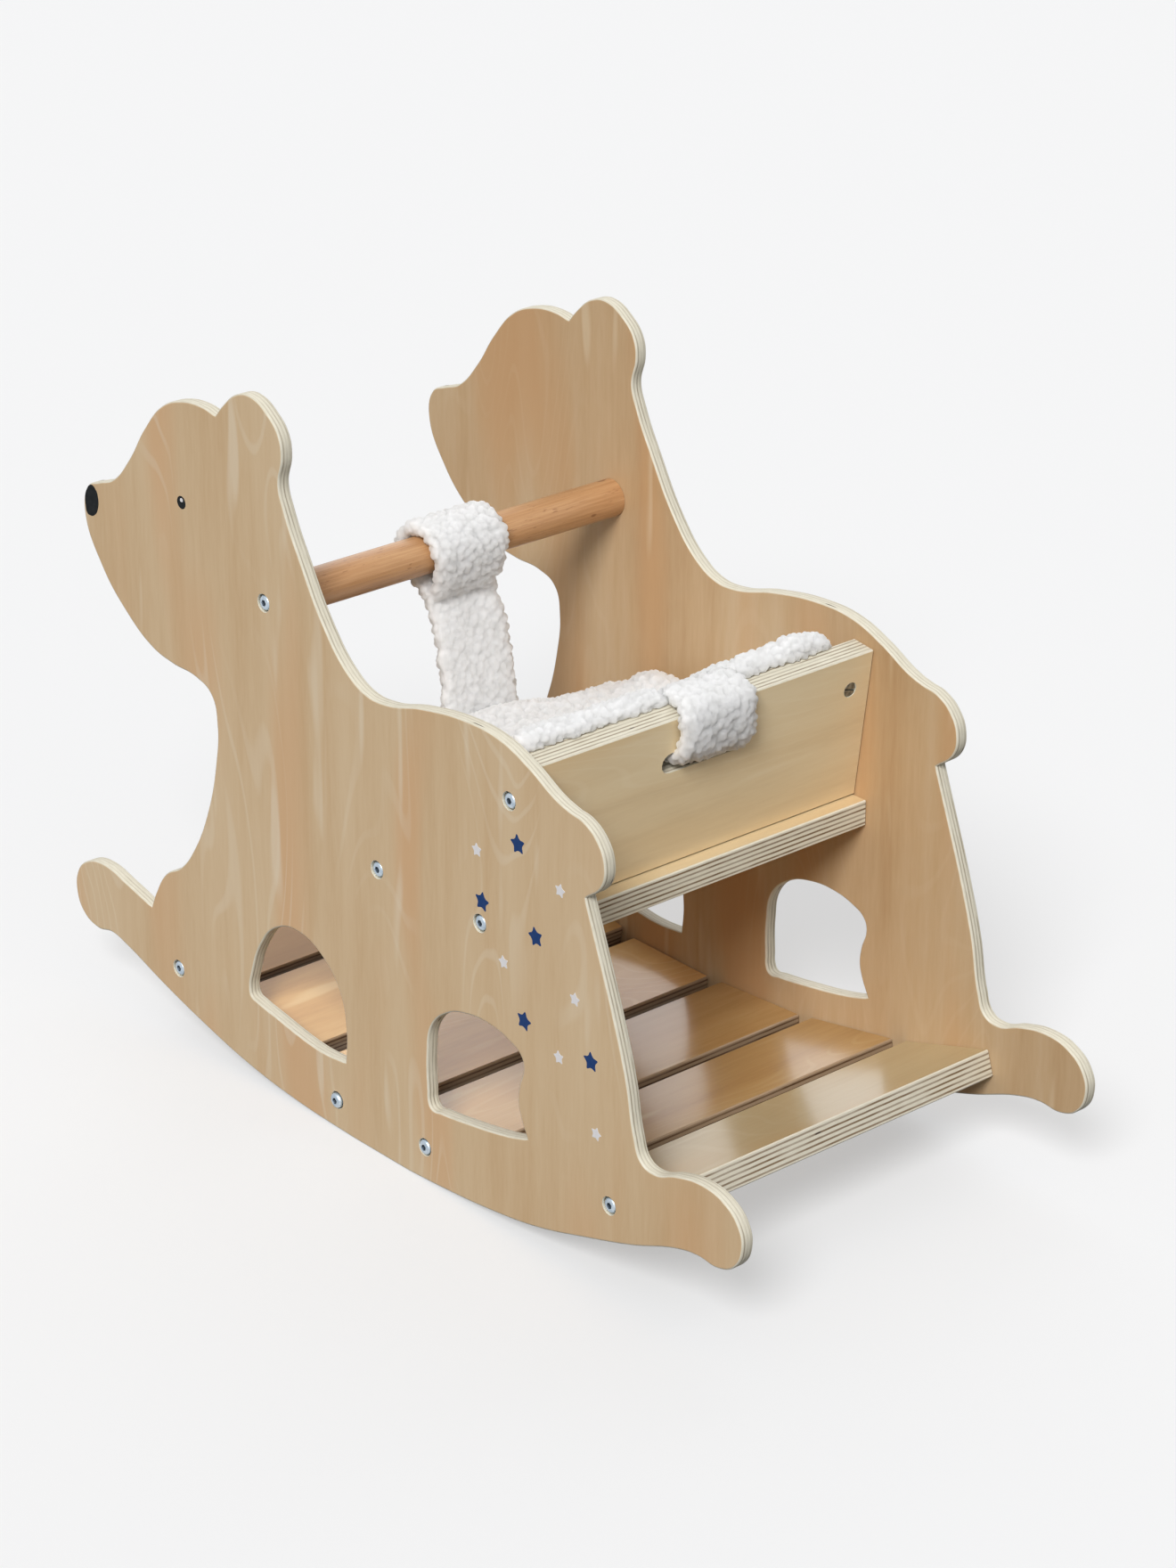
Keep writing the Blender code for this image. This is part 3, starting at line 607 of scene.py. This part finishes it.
def dress_boards():
    """Plywood on the seat, backrest and slats, each with its own stretch of veneer."""
    boards = [name for name in frame["nodes"]
              if name in ("seat_board", "backrest") or name.startswith("floor_slat")]
    for number, name in enumerate(sorted(boards)):
        mesh = frame["nodes"][name].data
        facing = {}
        for polygon in mesh.polygons:
            key = tuple(round(part, 1) for part in polygon.normal)
            facing[key] = facing.get(key, Vector()) + polygon.normal * polygon.area
        through = max(facing.values(), key=lambda total: total.length).normalized()
        turn = Matrix((X_AXIS, through.cross(X_AXIS), through)).transposed()
        tones, edge_shade, contrast = BOARD_TONES, 0.0, (0.55, 1.0)
        # the slats' edges get painted shade, and the rear slat's open edge only a little
        if name.startswith("floor_slat"):
            tones, edge_shade = SLAT_TONES, 0.75
        if name == "floor_slat_6":
            tones, edge_shade = REAR_SLAT_TONES, 0.08
        if name == "backrest":
            contrast = (0.25, 0.70)
        # painted light and shade: each board is drawn lighter or darker by its share
        share = BOARD_LIGHT_SHARES.get(name, 1.0)
        tones = [tuple(share * part for part in tone[:3]) + (1.0,) for tone in tones]
        gloss = BOARD_GLOSS.get(name, USUAL_GLOSS)
        dress(name, plywood(f"{name}_ply", middle(name), turn, BOARD, 11, tones,
                            0.9 * number + 2.0, gloss, 0.7, edge_shade, contrast))


def dress(name, finish):
    node = frame["nodes"][name]
    for place in node.material_slots:
        place.link = "OBJECT"
        place.material = finish


SHANK = 0.0030                       # radius of an M6 bolt


def head_profile(length):
    """A button-head bolt on the X axis, its crown at x = 0 and the rest at negative x."""
    points = [(0.0, 0.0)]
    for step in range(9):
        angle = math.pi / 2 * step / 8
        points.append((-0.0022 * (1 - math.cos(angle)), SHANK + 0.00225 * math.sin(angle)))
    points += [(-0.0028, 0.00525), (-0.0030, 0.0051), (-0.0030, SHANK),
               (-length + 0.0005, SHANK), (-length, 0.0025), (-length, 0.0)]
    return points


def make_bolts(finish, dark):
    """Button heads, each with a hexagon socket, and a dark disc down each socket painted as its
    shade.
    """
    socket_shade_discs = []
    for number, node in enumerate(BOLTS):
        low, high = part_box(node)
        sign = 1 if node.endswith("left") else -1
        crown = high.x if sign > 0 else low.x
        mesh = turned(head_profile(high.x - low.x), 40)
        socket = turned(((0.001, 0.0), (0.001, 0.0023), (-0.0019, 0.0023), (-0.0024, 0.0)), 6)
        mesh = shade(cut(mesh, [socket]), X_AXIS, 30)
        twist = Matrix.Rotation(0.55 * number, 4, "X")
        side = Matrix.Identity(4) if sign > 0 else Matrix.Rotation(math.pi, 4, "Z")
        _, y, z = middle(node)
        place = Matrix.Translation((crown, y, z)) @ side @ twist
        mesh.transform(place)
        add_piece(f"head_{node}", mesh, finish, "zinc_steel", node)
        # painted shade: a dark hexagon disc down each socket stands in for the shade in its hollow
        socket_shade_disc = turned(rod(-0.0008, -0.0020, 0.00228), 6)
        socket_shade_disc.transform(place)
        socket_shade_discs.append(socket_shade_disc)
    add_piece("hexagon_socket_shades", joined(socket_shade_discs), dark, "zinc_steel")


NUT_LENGTH = 0.014


def make_nuts(finish):
    """Barrel nuts with a screwdriver slot in the face that shows."""
    for number, node in enumerate(NUTS):
        low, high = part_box(node)
        corners = [vertex.co for vertex in frame["nodes"][node].data.vertices]
        board = "backrest" if "backrest" in node else "seat_board"
        if "slat" in node:
            board = "floor_" + "_".join(node.split("_")[1:3])
        facing = Vector((0, math.cos(BACKREST_LEAN), -math.sin(BACKREST_LEAN)))
        if board != "backrest":
            tilt = board_tilt(board)
            facing = Vector((0, math.sin(tilt), -math.cos(tilt)))
        centre = (low + high) / 2
        reach = max((corner - centre).dot(facing) for corner in corners)
        end = -NUT_LENGTH
        mesh = turned(((0.0, 0.0), (0.0, 0.0045), (-0.0005, 0.0050), (end + 0.0005, 0.0050),
                       (end, 0.0045), (end, 0.0)), 32)
        slot = box((0.0028, 0.0014, 0.0120))
        thread = turned(rod(-0.02, 0.02, 0.0033), 20)
        turn = facing.to_track_quat("X", "Z").to_matrix().to_4x4()
        place = Matrix.Translation(centre + facing * reach) @ turn
        mesh.transform(place)
        slot.transform(place @ Matrix.Rotation(0.5 + 0.8 * number, 4, "X"))
        bolt_y, bolt_z = middle("bolt_" + node[4:])[1:]
        thread.transform(Matrix.Translation((centre.x, bolt_y, bolt_z)))
        mesh = shade(cut(mesh, [slot, thread]), facing, 30)
        add_piece(f"barrel_{node}", mesh, finish, "zinc_steel", node)


def box(size):
    bm = bmesh.new()
    bmesh.ops.create_cube(bm, size=1.0)
    bmesh.ops.scale(bm, vec=Vector(size), verts=bm.verts)
    return finished(bm)


def board_tilt(name):
    """How far a slat or the seat is tipped, from the slope of its largest face."""
    polygons = frame["nodes"][name].data.polygons
    total = Vector()
    for polygon in polygons:
        if polygon.normal.z > 0.9:
            total += polygon.normal * polygon.area
    return math.atan2(-total.y, total.z)


# Printed marks

BLUE_STARS = ((137.2, 269.4, 8), (103.1, 219.2, -6), (153.2, 213.8, 14), (141.9, 153.0, -10),
              (203.7, 149.7, 4))
WHITE_STARS = ((98.6, 252.2, 5), (175.9, 252.8, -8), (122.9, 185.6, 12), (189.1, 185.8, -4),
               (174.2, 140.9, 9), (208.6, 102.7, -12))
NOSE = ((-303.7, 366.9), (-301.1, 373.9), (-294.7, 377.5), (-289, 373.6), (-287.6, 365.9),
        (-290.2, 358.3), (-295.6, 354.3), (-302.7, 354.7))
EYE = (-194.4, 392.8)
FILM = 0.0001


def star(y, z, radius, turn):
    """Outline of a five-pointed star with soft points."""
    points = []
    for index in range(10):
        reach = radius if index % 2 == 0 else radius * 0.50
        angle = math.radians(90 + turn + 36 * index)
        points.append((y + reach * math.cos(angle), z + reach * math.sin(angle)))
    return softened(points, 3)


def softened(points, times):
    """Cut the corners of a closed outline again and again."""
    for _ in range(times):
        cut_points = []
        for (y, z), (next_y, next_z) in zip(points, points[1:] + points[:1]):
            cut_points.append((y * 0.8 + next_y * 0.2, z * 0.8 + next_z * 0.2))
            cut_points.append((y * 0.2 + next_y * 0.8, z * 0.2 + next_z * 0.8))
        points = cut_points
    return points


def prism(points, low, high):
    """A flat shape in the side view, given in millimetres, between two places along X."""
    bm = bmesh.new()
    face = bm.faces.new([bm.verts.new((low, y * MM, z * MM)) for y, z in points])
    grown = bmesh.ops.extrude_face_region(bm, geom=[face])
    raised = [item for item in grown["geom"] if isinstance(item, bmesh.types.BMVert)]
    bmesh.ops.translate(bm, vec=(high - low, 0, 0), verts=raised)
    return finished(bm)


def joined(meshes):
    bm = bmesh.new()
    for mesh in meshes:
        bm.from_mesh(mesh)
    return finished(bm)


def oval(y, z, wide, high):
    return [(y + wide * cosine, z + high * sine) for cosine, sine in circle(32)]


def print_marks(side, sign, black, blue, white):
    """The marks as films on the outer face. The nose runs over the panel's rounded edge."""
    face = sign * OUTER
    lifted = sign * (OUTER + FILM)
    for name, stars, radius, tone in (("blue", BLUE_STARS, 7.4, blue),
                                      ("white", WHITE_STARS, 5.2, white)):
        films = [prism(star(y, z, radius, turn), face, lifted) for y, z, turn in stars]
        add_piece(f"{name}_stars_{side}", joined(films), tone, "panel_veneer")
    y, z = EYE
    add_piece(f"eye_{side}", prism(oval(y, z, 4.5, 4.35), face, lifted), black, "panel_veneer")
    glint = prism(oval(y + 0.3, z + 1.7, 1.5, 1.4), lifted, sign * (OUTER + 2 * FILM))
    add_piece(f"eye_glint_{side}", glint, white, "panel_veneer")
    ends = sorted((sign * (OUTER - 0.0010), sign * (OUTER + PAST)))
    nose = prism(softened(list(NOSE), 3), *ends)
    nose = cut(panel_mesh(sign, FILM / 2), [nose], "INTERSECT")
    add_piece(f"nose_{side}", shade(nose, X_AXIS), black, "panel_veneer")


# Fleece

ON_BOARD = 0.0006                    # gap between the fleece, before its curls, and a board
CLEAR = 0.0004                       # least gap between its curls and a board
RING_STEP = 0.0022                   # along a strap


def backrest_point(up, forward):
    """Side-view place on the backrest: up along the board, forward from its rear face."""
    y = BACKREST_FOOT[0] + up * math.sin(BACKREST_LEAN) - forward * math.cos(BACKREST_LEAN)
    z = BACKREST_FOOT[1] + up * math.cos(BACKREST_LEAN) + forward * math.sin(BACKREST_LEAN)
    return Vector((y, z))


def on_backrest(y, z):
    """How far up the backrest and how far forward of its rear face a side-view place is."""
    dy = y - BACKREST_FOOT[0]
    dz = z - BACKREST_FOOT[1]
    up = dy * math.sin(BACKREST_LEAN) + dz * math.cos(BACKREST_LEAN)
    forward = -dy * math.cos(BACKREST_LEAN) + dz * math.sin(BACKREST_LEAN)
    return up, forward


def smooth_path(points, spacing):
    """A smooth curve through side-view points, as points at an even spacing."""
    dense = []
    count = len(points)
    for index in range(count - 1):
        before = Vector(points[max(index - 1, 0)])
        start = Vector(points[index])
        end = Vector(points[index + 1])
        after = Vector(points[min(index + 2, count - 1)])
        for step in range(24):
            t = step / 24
            dense.append(0.5 * (2 * start + (end - before) * t
                                + (2 * before - 5 * start + 4 * end - after) * t * t
                                + (3 * start - before - 3 * end + after) * t * t * t))
    dense.append(Vector(points[-1]))
    lengths = [0.0]
    for first, second in zip(dense, dense[1:]):
        lengths.append(lengths[-1] + (second - first).length)
    steps = max(2, round(lengths[-1] / spacing))
    even = []
    index = 0
    for step in range(steps + 1):
        goal = lengths[-1] * step / steps
        while index < len(dense) - 2 and lengths[index + 1] < goal:
            index += 1
        span = lengths[index + 1] - lengths[index]
        share = (goal - lengths[index]) / span if span else 0.0
        even.append(dense[index].lerp(dense[index + 1], min(share, 1.0)))
    return even


def wander(place, size, seed):
    """Smooth noise between -1 and 1 with features about size across."""
    return noise.noise(Vector(place) / size + Vector((seed, seed * 1.7, seed * 2.3)))


def between(keys, share):
    """Values at a share of the way through keys of (share, value, value)."""
    for first, second in zip(keys, keys[1:]):
        if share <= second[0]:
            part = (share - first[0]) / (second[0] - first[0])
            part = part * part * (3 - 2 * part)
            return [a + (b - a) * part for a, b in zip(first[1:], second[1:])]
    return keys[-1][1:]


def lofted(bm, rings):
    """The mesh of a tube through rings of vertices, closed at both ends."""
    for first, second in zip(rings, rings[1:]):
        for index in range(len(first)):
            after = (index + 1) % len(first)
            bm.faces.new((first[index], first[after], second[after], second[index]))
    bm.faces.new(rings[0])
    bm.faces.new(rings[-1])
    return finished(bm)


def strip_mesh(points, edges, thickness, seed):
    """A padded strip along a side-view path, with full edges and closed, rounded ends.

    edges lists the strip's lowest and highest x at shares of its length."""
    bm = bmesh.new()
    rings = []
    across = 34
    path = smooth_path(points, RING_STEP)
    last = len(path) - 1
    for index, centre in enumerate(path):
        run = (path[min(index + 1, last)] - path[max(index - 1, 0)]).normalized()
        out = Vector((run.y, -run.x))
        end = min((last - index) / 2.5, 1.0)
        full = math.sqrt(max(1 - (1 - end) ** 2, 0.02))
        full *= 0.30 + 0.70 * math.sin(math.pi / 2 * min(index / 7.0, 1.0))
        left, right = between(edges, index / last)
        run_length = index * RING_STEP
        left += 0.0016 * wander((run_length, 0.0, 0.0), 0.007, seed) + 0.002 * (1 - full)
        right += 0.0016 * wander((run_length, 0.3, 0.0), 0.007, seed) - 0.002 * (1 - full)
        ring = []
        for side in (1, -1):
            for step in range(across):
                share = math.cos(math.pi * (step + 0.5) / across) * side
                x = (left + right) / 2 + share * (right - left) / 2
                deep = thickness / 2 * full * (1 - abs(share) ** 10) ** 0.5
                place = centre + out * deep * side
                ring.append(bm.verts.new((x, place.x, place.y)))
        rings.append(ring)
    return lofted(bm, rings)


def divided(mesh, levels):
    piece = link(bpy.data.objects.new("divided", mesh))
    modifier = piece.modifiers.new("subdivision", "SUBSURF")
    modifier.levels = levels
    modifier.render_levels = levels
    return applied(piece)


def curl(mesh, lump, bobble, seed, keep, flatter=None):
    """Raise the fleece's lumps and round curls along the surface, clear of what it lies on.

    The shading leans to the smooth surface's normals, as light fills the pile."""
    lump_size, warp_size, pitch, fine_size = 0.016, 0.0065, 0.0046, 0.0024
    lean = 2.4
    normals = [vertex.normal.copy() for vertex in mesh.vertices]
    shift = Vector((seed * 3.1, seed * 1.3, seed * 0.7))
    for vertex, normal in zip(mesh.vertices, normals):
        place = vertex.co
        calm = 1.0 if flatter is None else flatter(place)
        warp = noise.noise_vector(place / warp_size + shift) * 0.10
        near = noise.voronoi(place / pitch + shift + warp)[0][0]
        dome = 1 - (min(near, 0.80) / 0.58) ** 2
        rise = lump * noise.noise(place / lump_size + shift) + bobble * dome
        rise += 0.0004 * noise.noise(place / fine_size + shift)
        vertex.co = keep(place + normal * rise * calm)
    mesh.shade_smooth()
    mesh.update()
    mesh.normals_split_custom_set_from_vertices(
        [(lean * normal + vertex.normal).normalized()
         for vertex, normal in zip(mesh.vertices, normals)])
    return mesh


def swell(mesh, pinned, cap):
    """Blow the pad up a little with a cloth simulation.

    Pinned places stay, and no other moves by more than cap."""
    frames = 20
    pad = link(bpy.data.objects.new("pad", mesh))
    group = pad.vertex_groups.new(name="rest")
    for vertex in mesh.vertices:
        if pinned(vertex.co):
            group.add([vertex.index], 1.0, "REPLACE")
    start = [vertex.co.copy() for vertex in mesh.vertices]
    cloth = pad.modifiers.new("cloth", "CLOTH")
    cloth.settings.use_pressure = True
    cloth.settings.uniform_pressure_force = 4.0
    cloth.settings.effector_weights.gravity = 0.0
    cloth.settings.vertex_group_mass = "rest"
    cloth.settings.quality = 5
    cloth.collision_settings.use_collision = False
    cloth.point_cache.frame_start = 1
    cloth.point_cache.frame_end = frames
    for number in range(1, frames + 1):
        SCENE.frame_set(number)
    swollen = applied(pad)
    SCENE.frame_set(1)
    for vertex, before in zip(swollen.vertices, start):
        move = vertex.co - before
        if move.length > cap:
            vertex.co = before + move.normalized() * cap
    return swollen


def remeshed(mesh, voxel, rounds):
    piece = link(bpy.data.objects.new("remesh", mesh))
    remesh = piece.modifiers.new("remesh", "REMESH")
    remesh.mode = "VOXEL"
    remesh.voxel_size = voxel
    smooth = piece.modifiers.new("smooth", "SMOOTH")
    smooth.factor = 0.5
    smooth.iterations = rounds
    return applied(piece)


LINER_LOW = -0.1375
LINER_HIGH = 0.1385


def shares(steps):
    return [step / steps for step in range(steps + 1)]


def liner_mesh():
    """Seat pad with a rounded nose and a hanging flap, and the back pad with its roll."""
    bm = bmesh.new()
    sections = []
    stations = 64
    forward = Vector((-math.cos(BACKREST_LEAN), math.sin(BACKREST_LEAN)))
    upward = Vector((math.sin(BACKREST_LEAN), math.cos(BACKREST_LEAN)))
    flap_end = SEAT_TOP - 0.0195
    seat = SEAT_TOP + ON_BOARD
    front = SEAT_FRONT - ON_BOARD
    seat_run = 0.088 - SEAT_FRONT
    back = BOARD + ON_BOARD
    back_foot = 0.024
    for station in range(stations + 1):
        way = 0.5 - 0.5 * math.cos(math.pi * station / stations)
        x = LINER_LOW + (LINER_HIGH - LINER_LOW) * way
        end = min((x - LINER_LOW) / 0.005, (LINER_HIGH - x) / 0.008)
        full = math.sqrt(1 - (1 - min(end, 1.0)) ** 2) * 0.92 + 0.08
        corner = math.sqrt(max(1 - (abs(x) / 0.124) ** 4, 0.0))
        far = min(max((-0.080 - x) / 0.036, 0.0), 1.0)
        far *= far * (3 - 2 * far)

        # the flap and the nose
        nose_out = 0.0020 + 0.0165 * corner
        thick = (0.0272 + 0.0008 * far) * full
        lift = 0.0068 * math.exp(-((x + 0.004) / 0.056) ** 2)
        resting = [(front, flap_end), (front, SEAT_TOP - 0.008), (front, seat)]
        raised = [(front - nose_out * 0.70 * full, flap_end - 0.001),
                  (front - nose_out * 0.98 * full, SEAT_TOP - 0.008),
                  (front - nose_out * 0.92 * full, SEAT_TOP + thick * 0.45 + lift * 0.6)]

        # the seat, higher at the far side
        for share in shares(14):
            y = front + 0.002 + seat_run * share
            round_in = math.sqrt(max(1 - max(0.0, 1 - share / 0.10) ** 2, 0.0))
            crown = 0.80 + 0.20 * round_in
            resting.append((y, seat))
            height = seat + thick * (crown + 0.04 * share) + lift * (1 - share) ** 4
            height += 0.0052 * far * full * min(max(share - 0.02, 0.0) / 0.20, 1.0)
            raised.append((y - 0.010 * corner * (1 - round_in) * full, height))

        # the back pad, whose top falls off to a round corner at the far side
        top = BACKREST_HEIGHT + 0.0062 - 0.0045 * math.exp(-((x - 0.004) / 0.022) ** 2)
        top += 0.0040 * math.exp(-((x + 0.090) / 0.013) ** 2)
        if x < -0.108:
            fall = min((-0.108 - x) / 0.024, 1.0)
            top -= 0.036 * (1 - math.sqrt(max(1 - fall * fall, 0.0)))
        back_thick = 0.0175 * full
        rise = min(top, BACKREST_HEIGHT - 0.0005)
        for share in shares(12):
            resting.append(tuple(backrest_point(back_foot + (rise - back_foot) * share, back)))
            up = back_foot + (top - back_foot) * share
            near_top = max(0.0, (up - (top - 0.010)) / 0.010)
            bulge = 1.0 - 0.30 * near_top ** 2
            raised.append(tuple(backrest_point(up, back) + forward * back_thick * bulge))
        lap = 0.0052 if top > BACKREST_HEIGHT + 0.002 else 0.0
        brim = backrest_point(min(top, BACKREST_HEIGHT + 0.0010), back - lap)
        crest = backrest_point(top, BOARD + 0.0016 - lap)
        tip = backrest_point(top, back) + forward * back_thick * 0.35
        tip += upward * 0.0040 * full
        loop = resting + [tuple(brim), tuple(crest), tuple(tip)] + raised[::-1]
        sections.append([bm.verts.new((x, y, z)) for y, z in loop])
    return lofted(bm, sections)


def liner_rests(place):
    """Places of the liner that lie on a board or hang at the front edge."""
    up, forward = on_backrest(place.y, place.z)
    on_seat = place.z < SEAT_TOP + 0.0025
    on_back = forward < BOARD + 0.0030 and up < BACKREST_HEIGHT - 0.002
    return on_seat or on_back


def liner_clear(place):
    """Keep a place of the liner out of the boards and the panels."""
    x = min(max(place.x, -INNER + CLEAR), INNER - CLEAR)
    y, z = place.y, place.z
    if y > SEAT_FRONT and z < SEAT_TOP + CLEAR:
        if z > SEAT_TOP - 0.004 or y > SEAT_FRONT + 0.004:
            z = SEAT_TOP + CLEAR
        else:
            y = SEAT_FRONT - CLEAR
    up, forward = on_backrest(y, z)
    if up < BACKREST_HEIGHT + CLEAR and forward < BOARD + CLEAR:
        y, z = backrest_point(up, BOARD + CLEAR)
    return Vector((x, y, z))


def make_liner(finish):
    mesh = remeshed(liner_mesh(), 0.0045, 4)
    mesh = swell(mesh, liner_rests, 0.005)
    mesh = divided(mesh, 2)
    mesh = curl(mesh, 0.0011, 0.0018, 1.0, liner_clear)
    liner = add_piece("fleece_liner", mesh, finish, "fleece", "seat_liner")


def make_bar_strap(finish):
    """Strap sewn round the handlebar, its tail hanging to the front of the seat pad."""
    centre = Vector(BAR_CENTRE)
    radius = BAR_RADIUS + ON_BOARD + 0.0049
    path = [(-0.1072, 0.3176), (-0.1008, 0.3234), (-0.0953, 0.3330)]
    for step in range(15):
        angle = math.radians(-12 + 248 * step / 14)
        path.append((centre.x + radius * math.cos(angle), centre.y + radius * math.sin(angle)))
    path += [(-0.1080, 0.3240), (-0.1015, 0.3120), (-0.0970, 0.2960), (-0.0925, 0.2730),
             (-0.0890, 0.2490), (-0.0870, 0.2340), (-0.0862, 0.2260)]
    edges = ((0.0, -0.0300, 0.0245), (0.10, -0.0320, 0.0243), (0.20, -0.0345, 0.0270),
             (0.30, -0.0335, 0.0285), (0.48, -0.0320, 0.0270), (0.58, -0.0340, 0.0235),
             (0.75, -0.0368, 0.0228), (1.0, -0.0390, 0.0250))
    mesh = strip_mesh(path, edges, 0.0096, 4.0)
    mesh = divided(remeshed(mesh, 0.0019, 3), 1)
    mesh = curl(mesh, 0.0007, 0.0017, 5.0, strap_clear, strap_calm)
    strap = add_piece("fleece_bar_strap", mesh, finish, "fleece", "bar_strap")


def strap_calm(place):
    """The tail is flatter than the loop."""
    return 0.75 if place.z < 0.320 else 1.0


def strap_clear(place):
    """Keep a place of the strap out of the handlebar."""
    least = BAR_RADIUS + 0.0003
    from_bar = Vector((place.y - BAR_CENTRE[0], place.z - BAR_CENTRE[1]))
    if from_bar.length < least:
        from_bar = from_bar.normalized() * least
    return Vector((place.x, BAR_CENTRE[0] + from_bar.x, BAR_CENTRE[1] + from_bar.y))


def make_rear_strap(finish):
    """Strap from the back pad over the backrest's top edge, tucked into the hand slot."""
    height = BACKREST_HEIGHT
    places = ((height - 0.0010, BOARD + 0.009), (height + 0.0040, BOARD + 0.004),
              (height + 0.0062, BOARD - 0.003), (height + 0.0062, 0.004),
              (height + 0.0030, -0.0035), (height - 0.006, -0.0060),
              (height - 0.012, -0.0064), (height - 0.0178, -0.0062), (height - 0.0230, -0.0048),
              (height - 0.0274, -0.0004), (height - 0.0290, 0.0060), (height - 0.0290, 0.0120))
    path = [tuple(backrest_point(up, forward)) for up, forward in places]
    edges = ((0.0, -0.0310, 0.0200), (0.25, -0.0330, 0.0225), (0.45, -0.0335, 0.0265),
             (0.75, -0.0330, 0.0275), (1.0, -0.0300, 0.0260))
    mesh = strip_mesh(path, edges, 0.0106, 7.0)
    for vertex in mesh.vertices:             # it hangs lower towards the far side
        hang = max(BACKREST_FOOT[1] + height - vertex.co.z, 0.0) / 0.030
        vertex.co.z -= min(hang, 1.0) * 0.045 * (0.0275 - vertex.co.x)
    mesh = divided(mesh, 1)
    mesh = curl(mesh, 0.0007, 0.0017, 8.0, rear_clear)
    strap = add_piece("fleece_rear_strap", mesh, finish, "fleece", "rear_strap")


def rear_clear(place):
    """Keep a place of the rear strap out of the backrest, but let it into the hand slot."""
    up, forward = on_backrest(place.y, place.z)
    slot = BACKREST_HEIGHT - 0.031
    half_slot = 0.0066
    in_slot = abs(up - slot) < half_slot + 0.0002
    if not in_slot and up < BACKREST_HEIGHT + CLEAR and -CLEAR < forward < BOARD + CLEAR:
        if forward < 0.004:
            forward = -CLEAR
        elif up > BACKREST_HEIGHT - 0.006:
            up = BACKREST_HEIGHT + CLEAR
        else:
            up = slot + half_slot if up > slot else slot - half_slot
    y, z = backrest_point(up, forward)
    return Vector((place.x, y, z))


make_camera()
make_light()
make_floor()

for side_name, side_sign in SIDES:
    make_panel(side_name, side_sign)
dress_boards()
dress("handlebar", beech("beech_oiled", middle("handlebar")))
ZINC = steel("zinc_bright", srgb(170, 186, 200), srgb(206, 217, 226))
DULL = steel("zinc_dull", srgb(104, 108, 106), srgb(172, 176, 170))
# dark steel for the painted shade down the hexagon sockets
make_bolts(ZINC, steel("socket_painted_shade", srgb(24, 32, 40), srgb(46, 54, 62)))
make_nuts(DULL)
for insert in ("bar_insert_left", "bar_insert_right"):
    dress(insert, ZINC)
for pin in PINS:
    dress(pin, beech(f"{pin}_birch", middle(pin)))

BLACK_INK = ink("ink_black", srgb(9, 14, 17), srgb(26, 30, 32))
BLUE_INK = ink("ink_blue", srgb(32, 62, 114), srgb(52, 80, 126))
WHITE_INK = ink("ink_white", srgb(236, 234, 236), srgb(222, 216, 208))
for side_name, side_sign in SIDES:
    print_marks(side_name, side_sign, BLACK_INK, BLUE_INK, WHITE_INK)

FLEECE = fleece_finish("fleece_white", srgb(226, 226, 226), srgb(216, 216, 215))
make_liner(FLEECE)
make_bar_strap(FLEECE)
make_rear_strap(FLEECE)
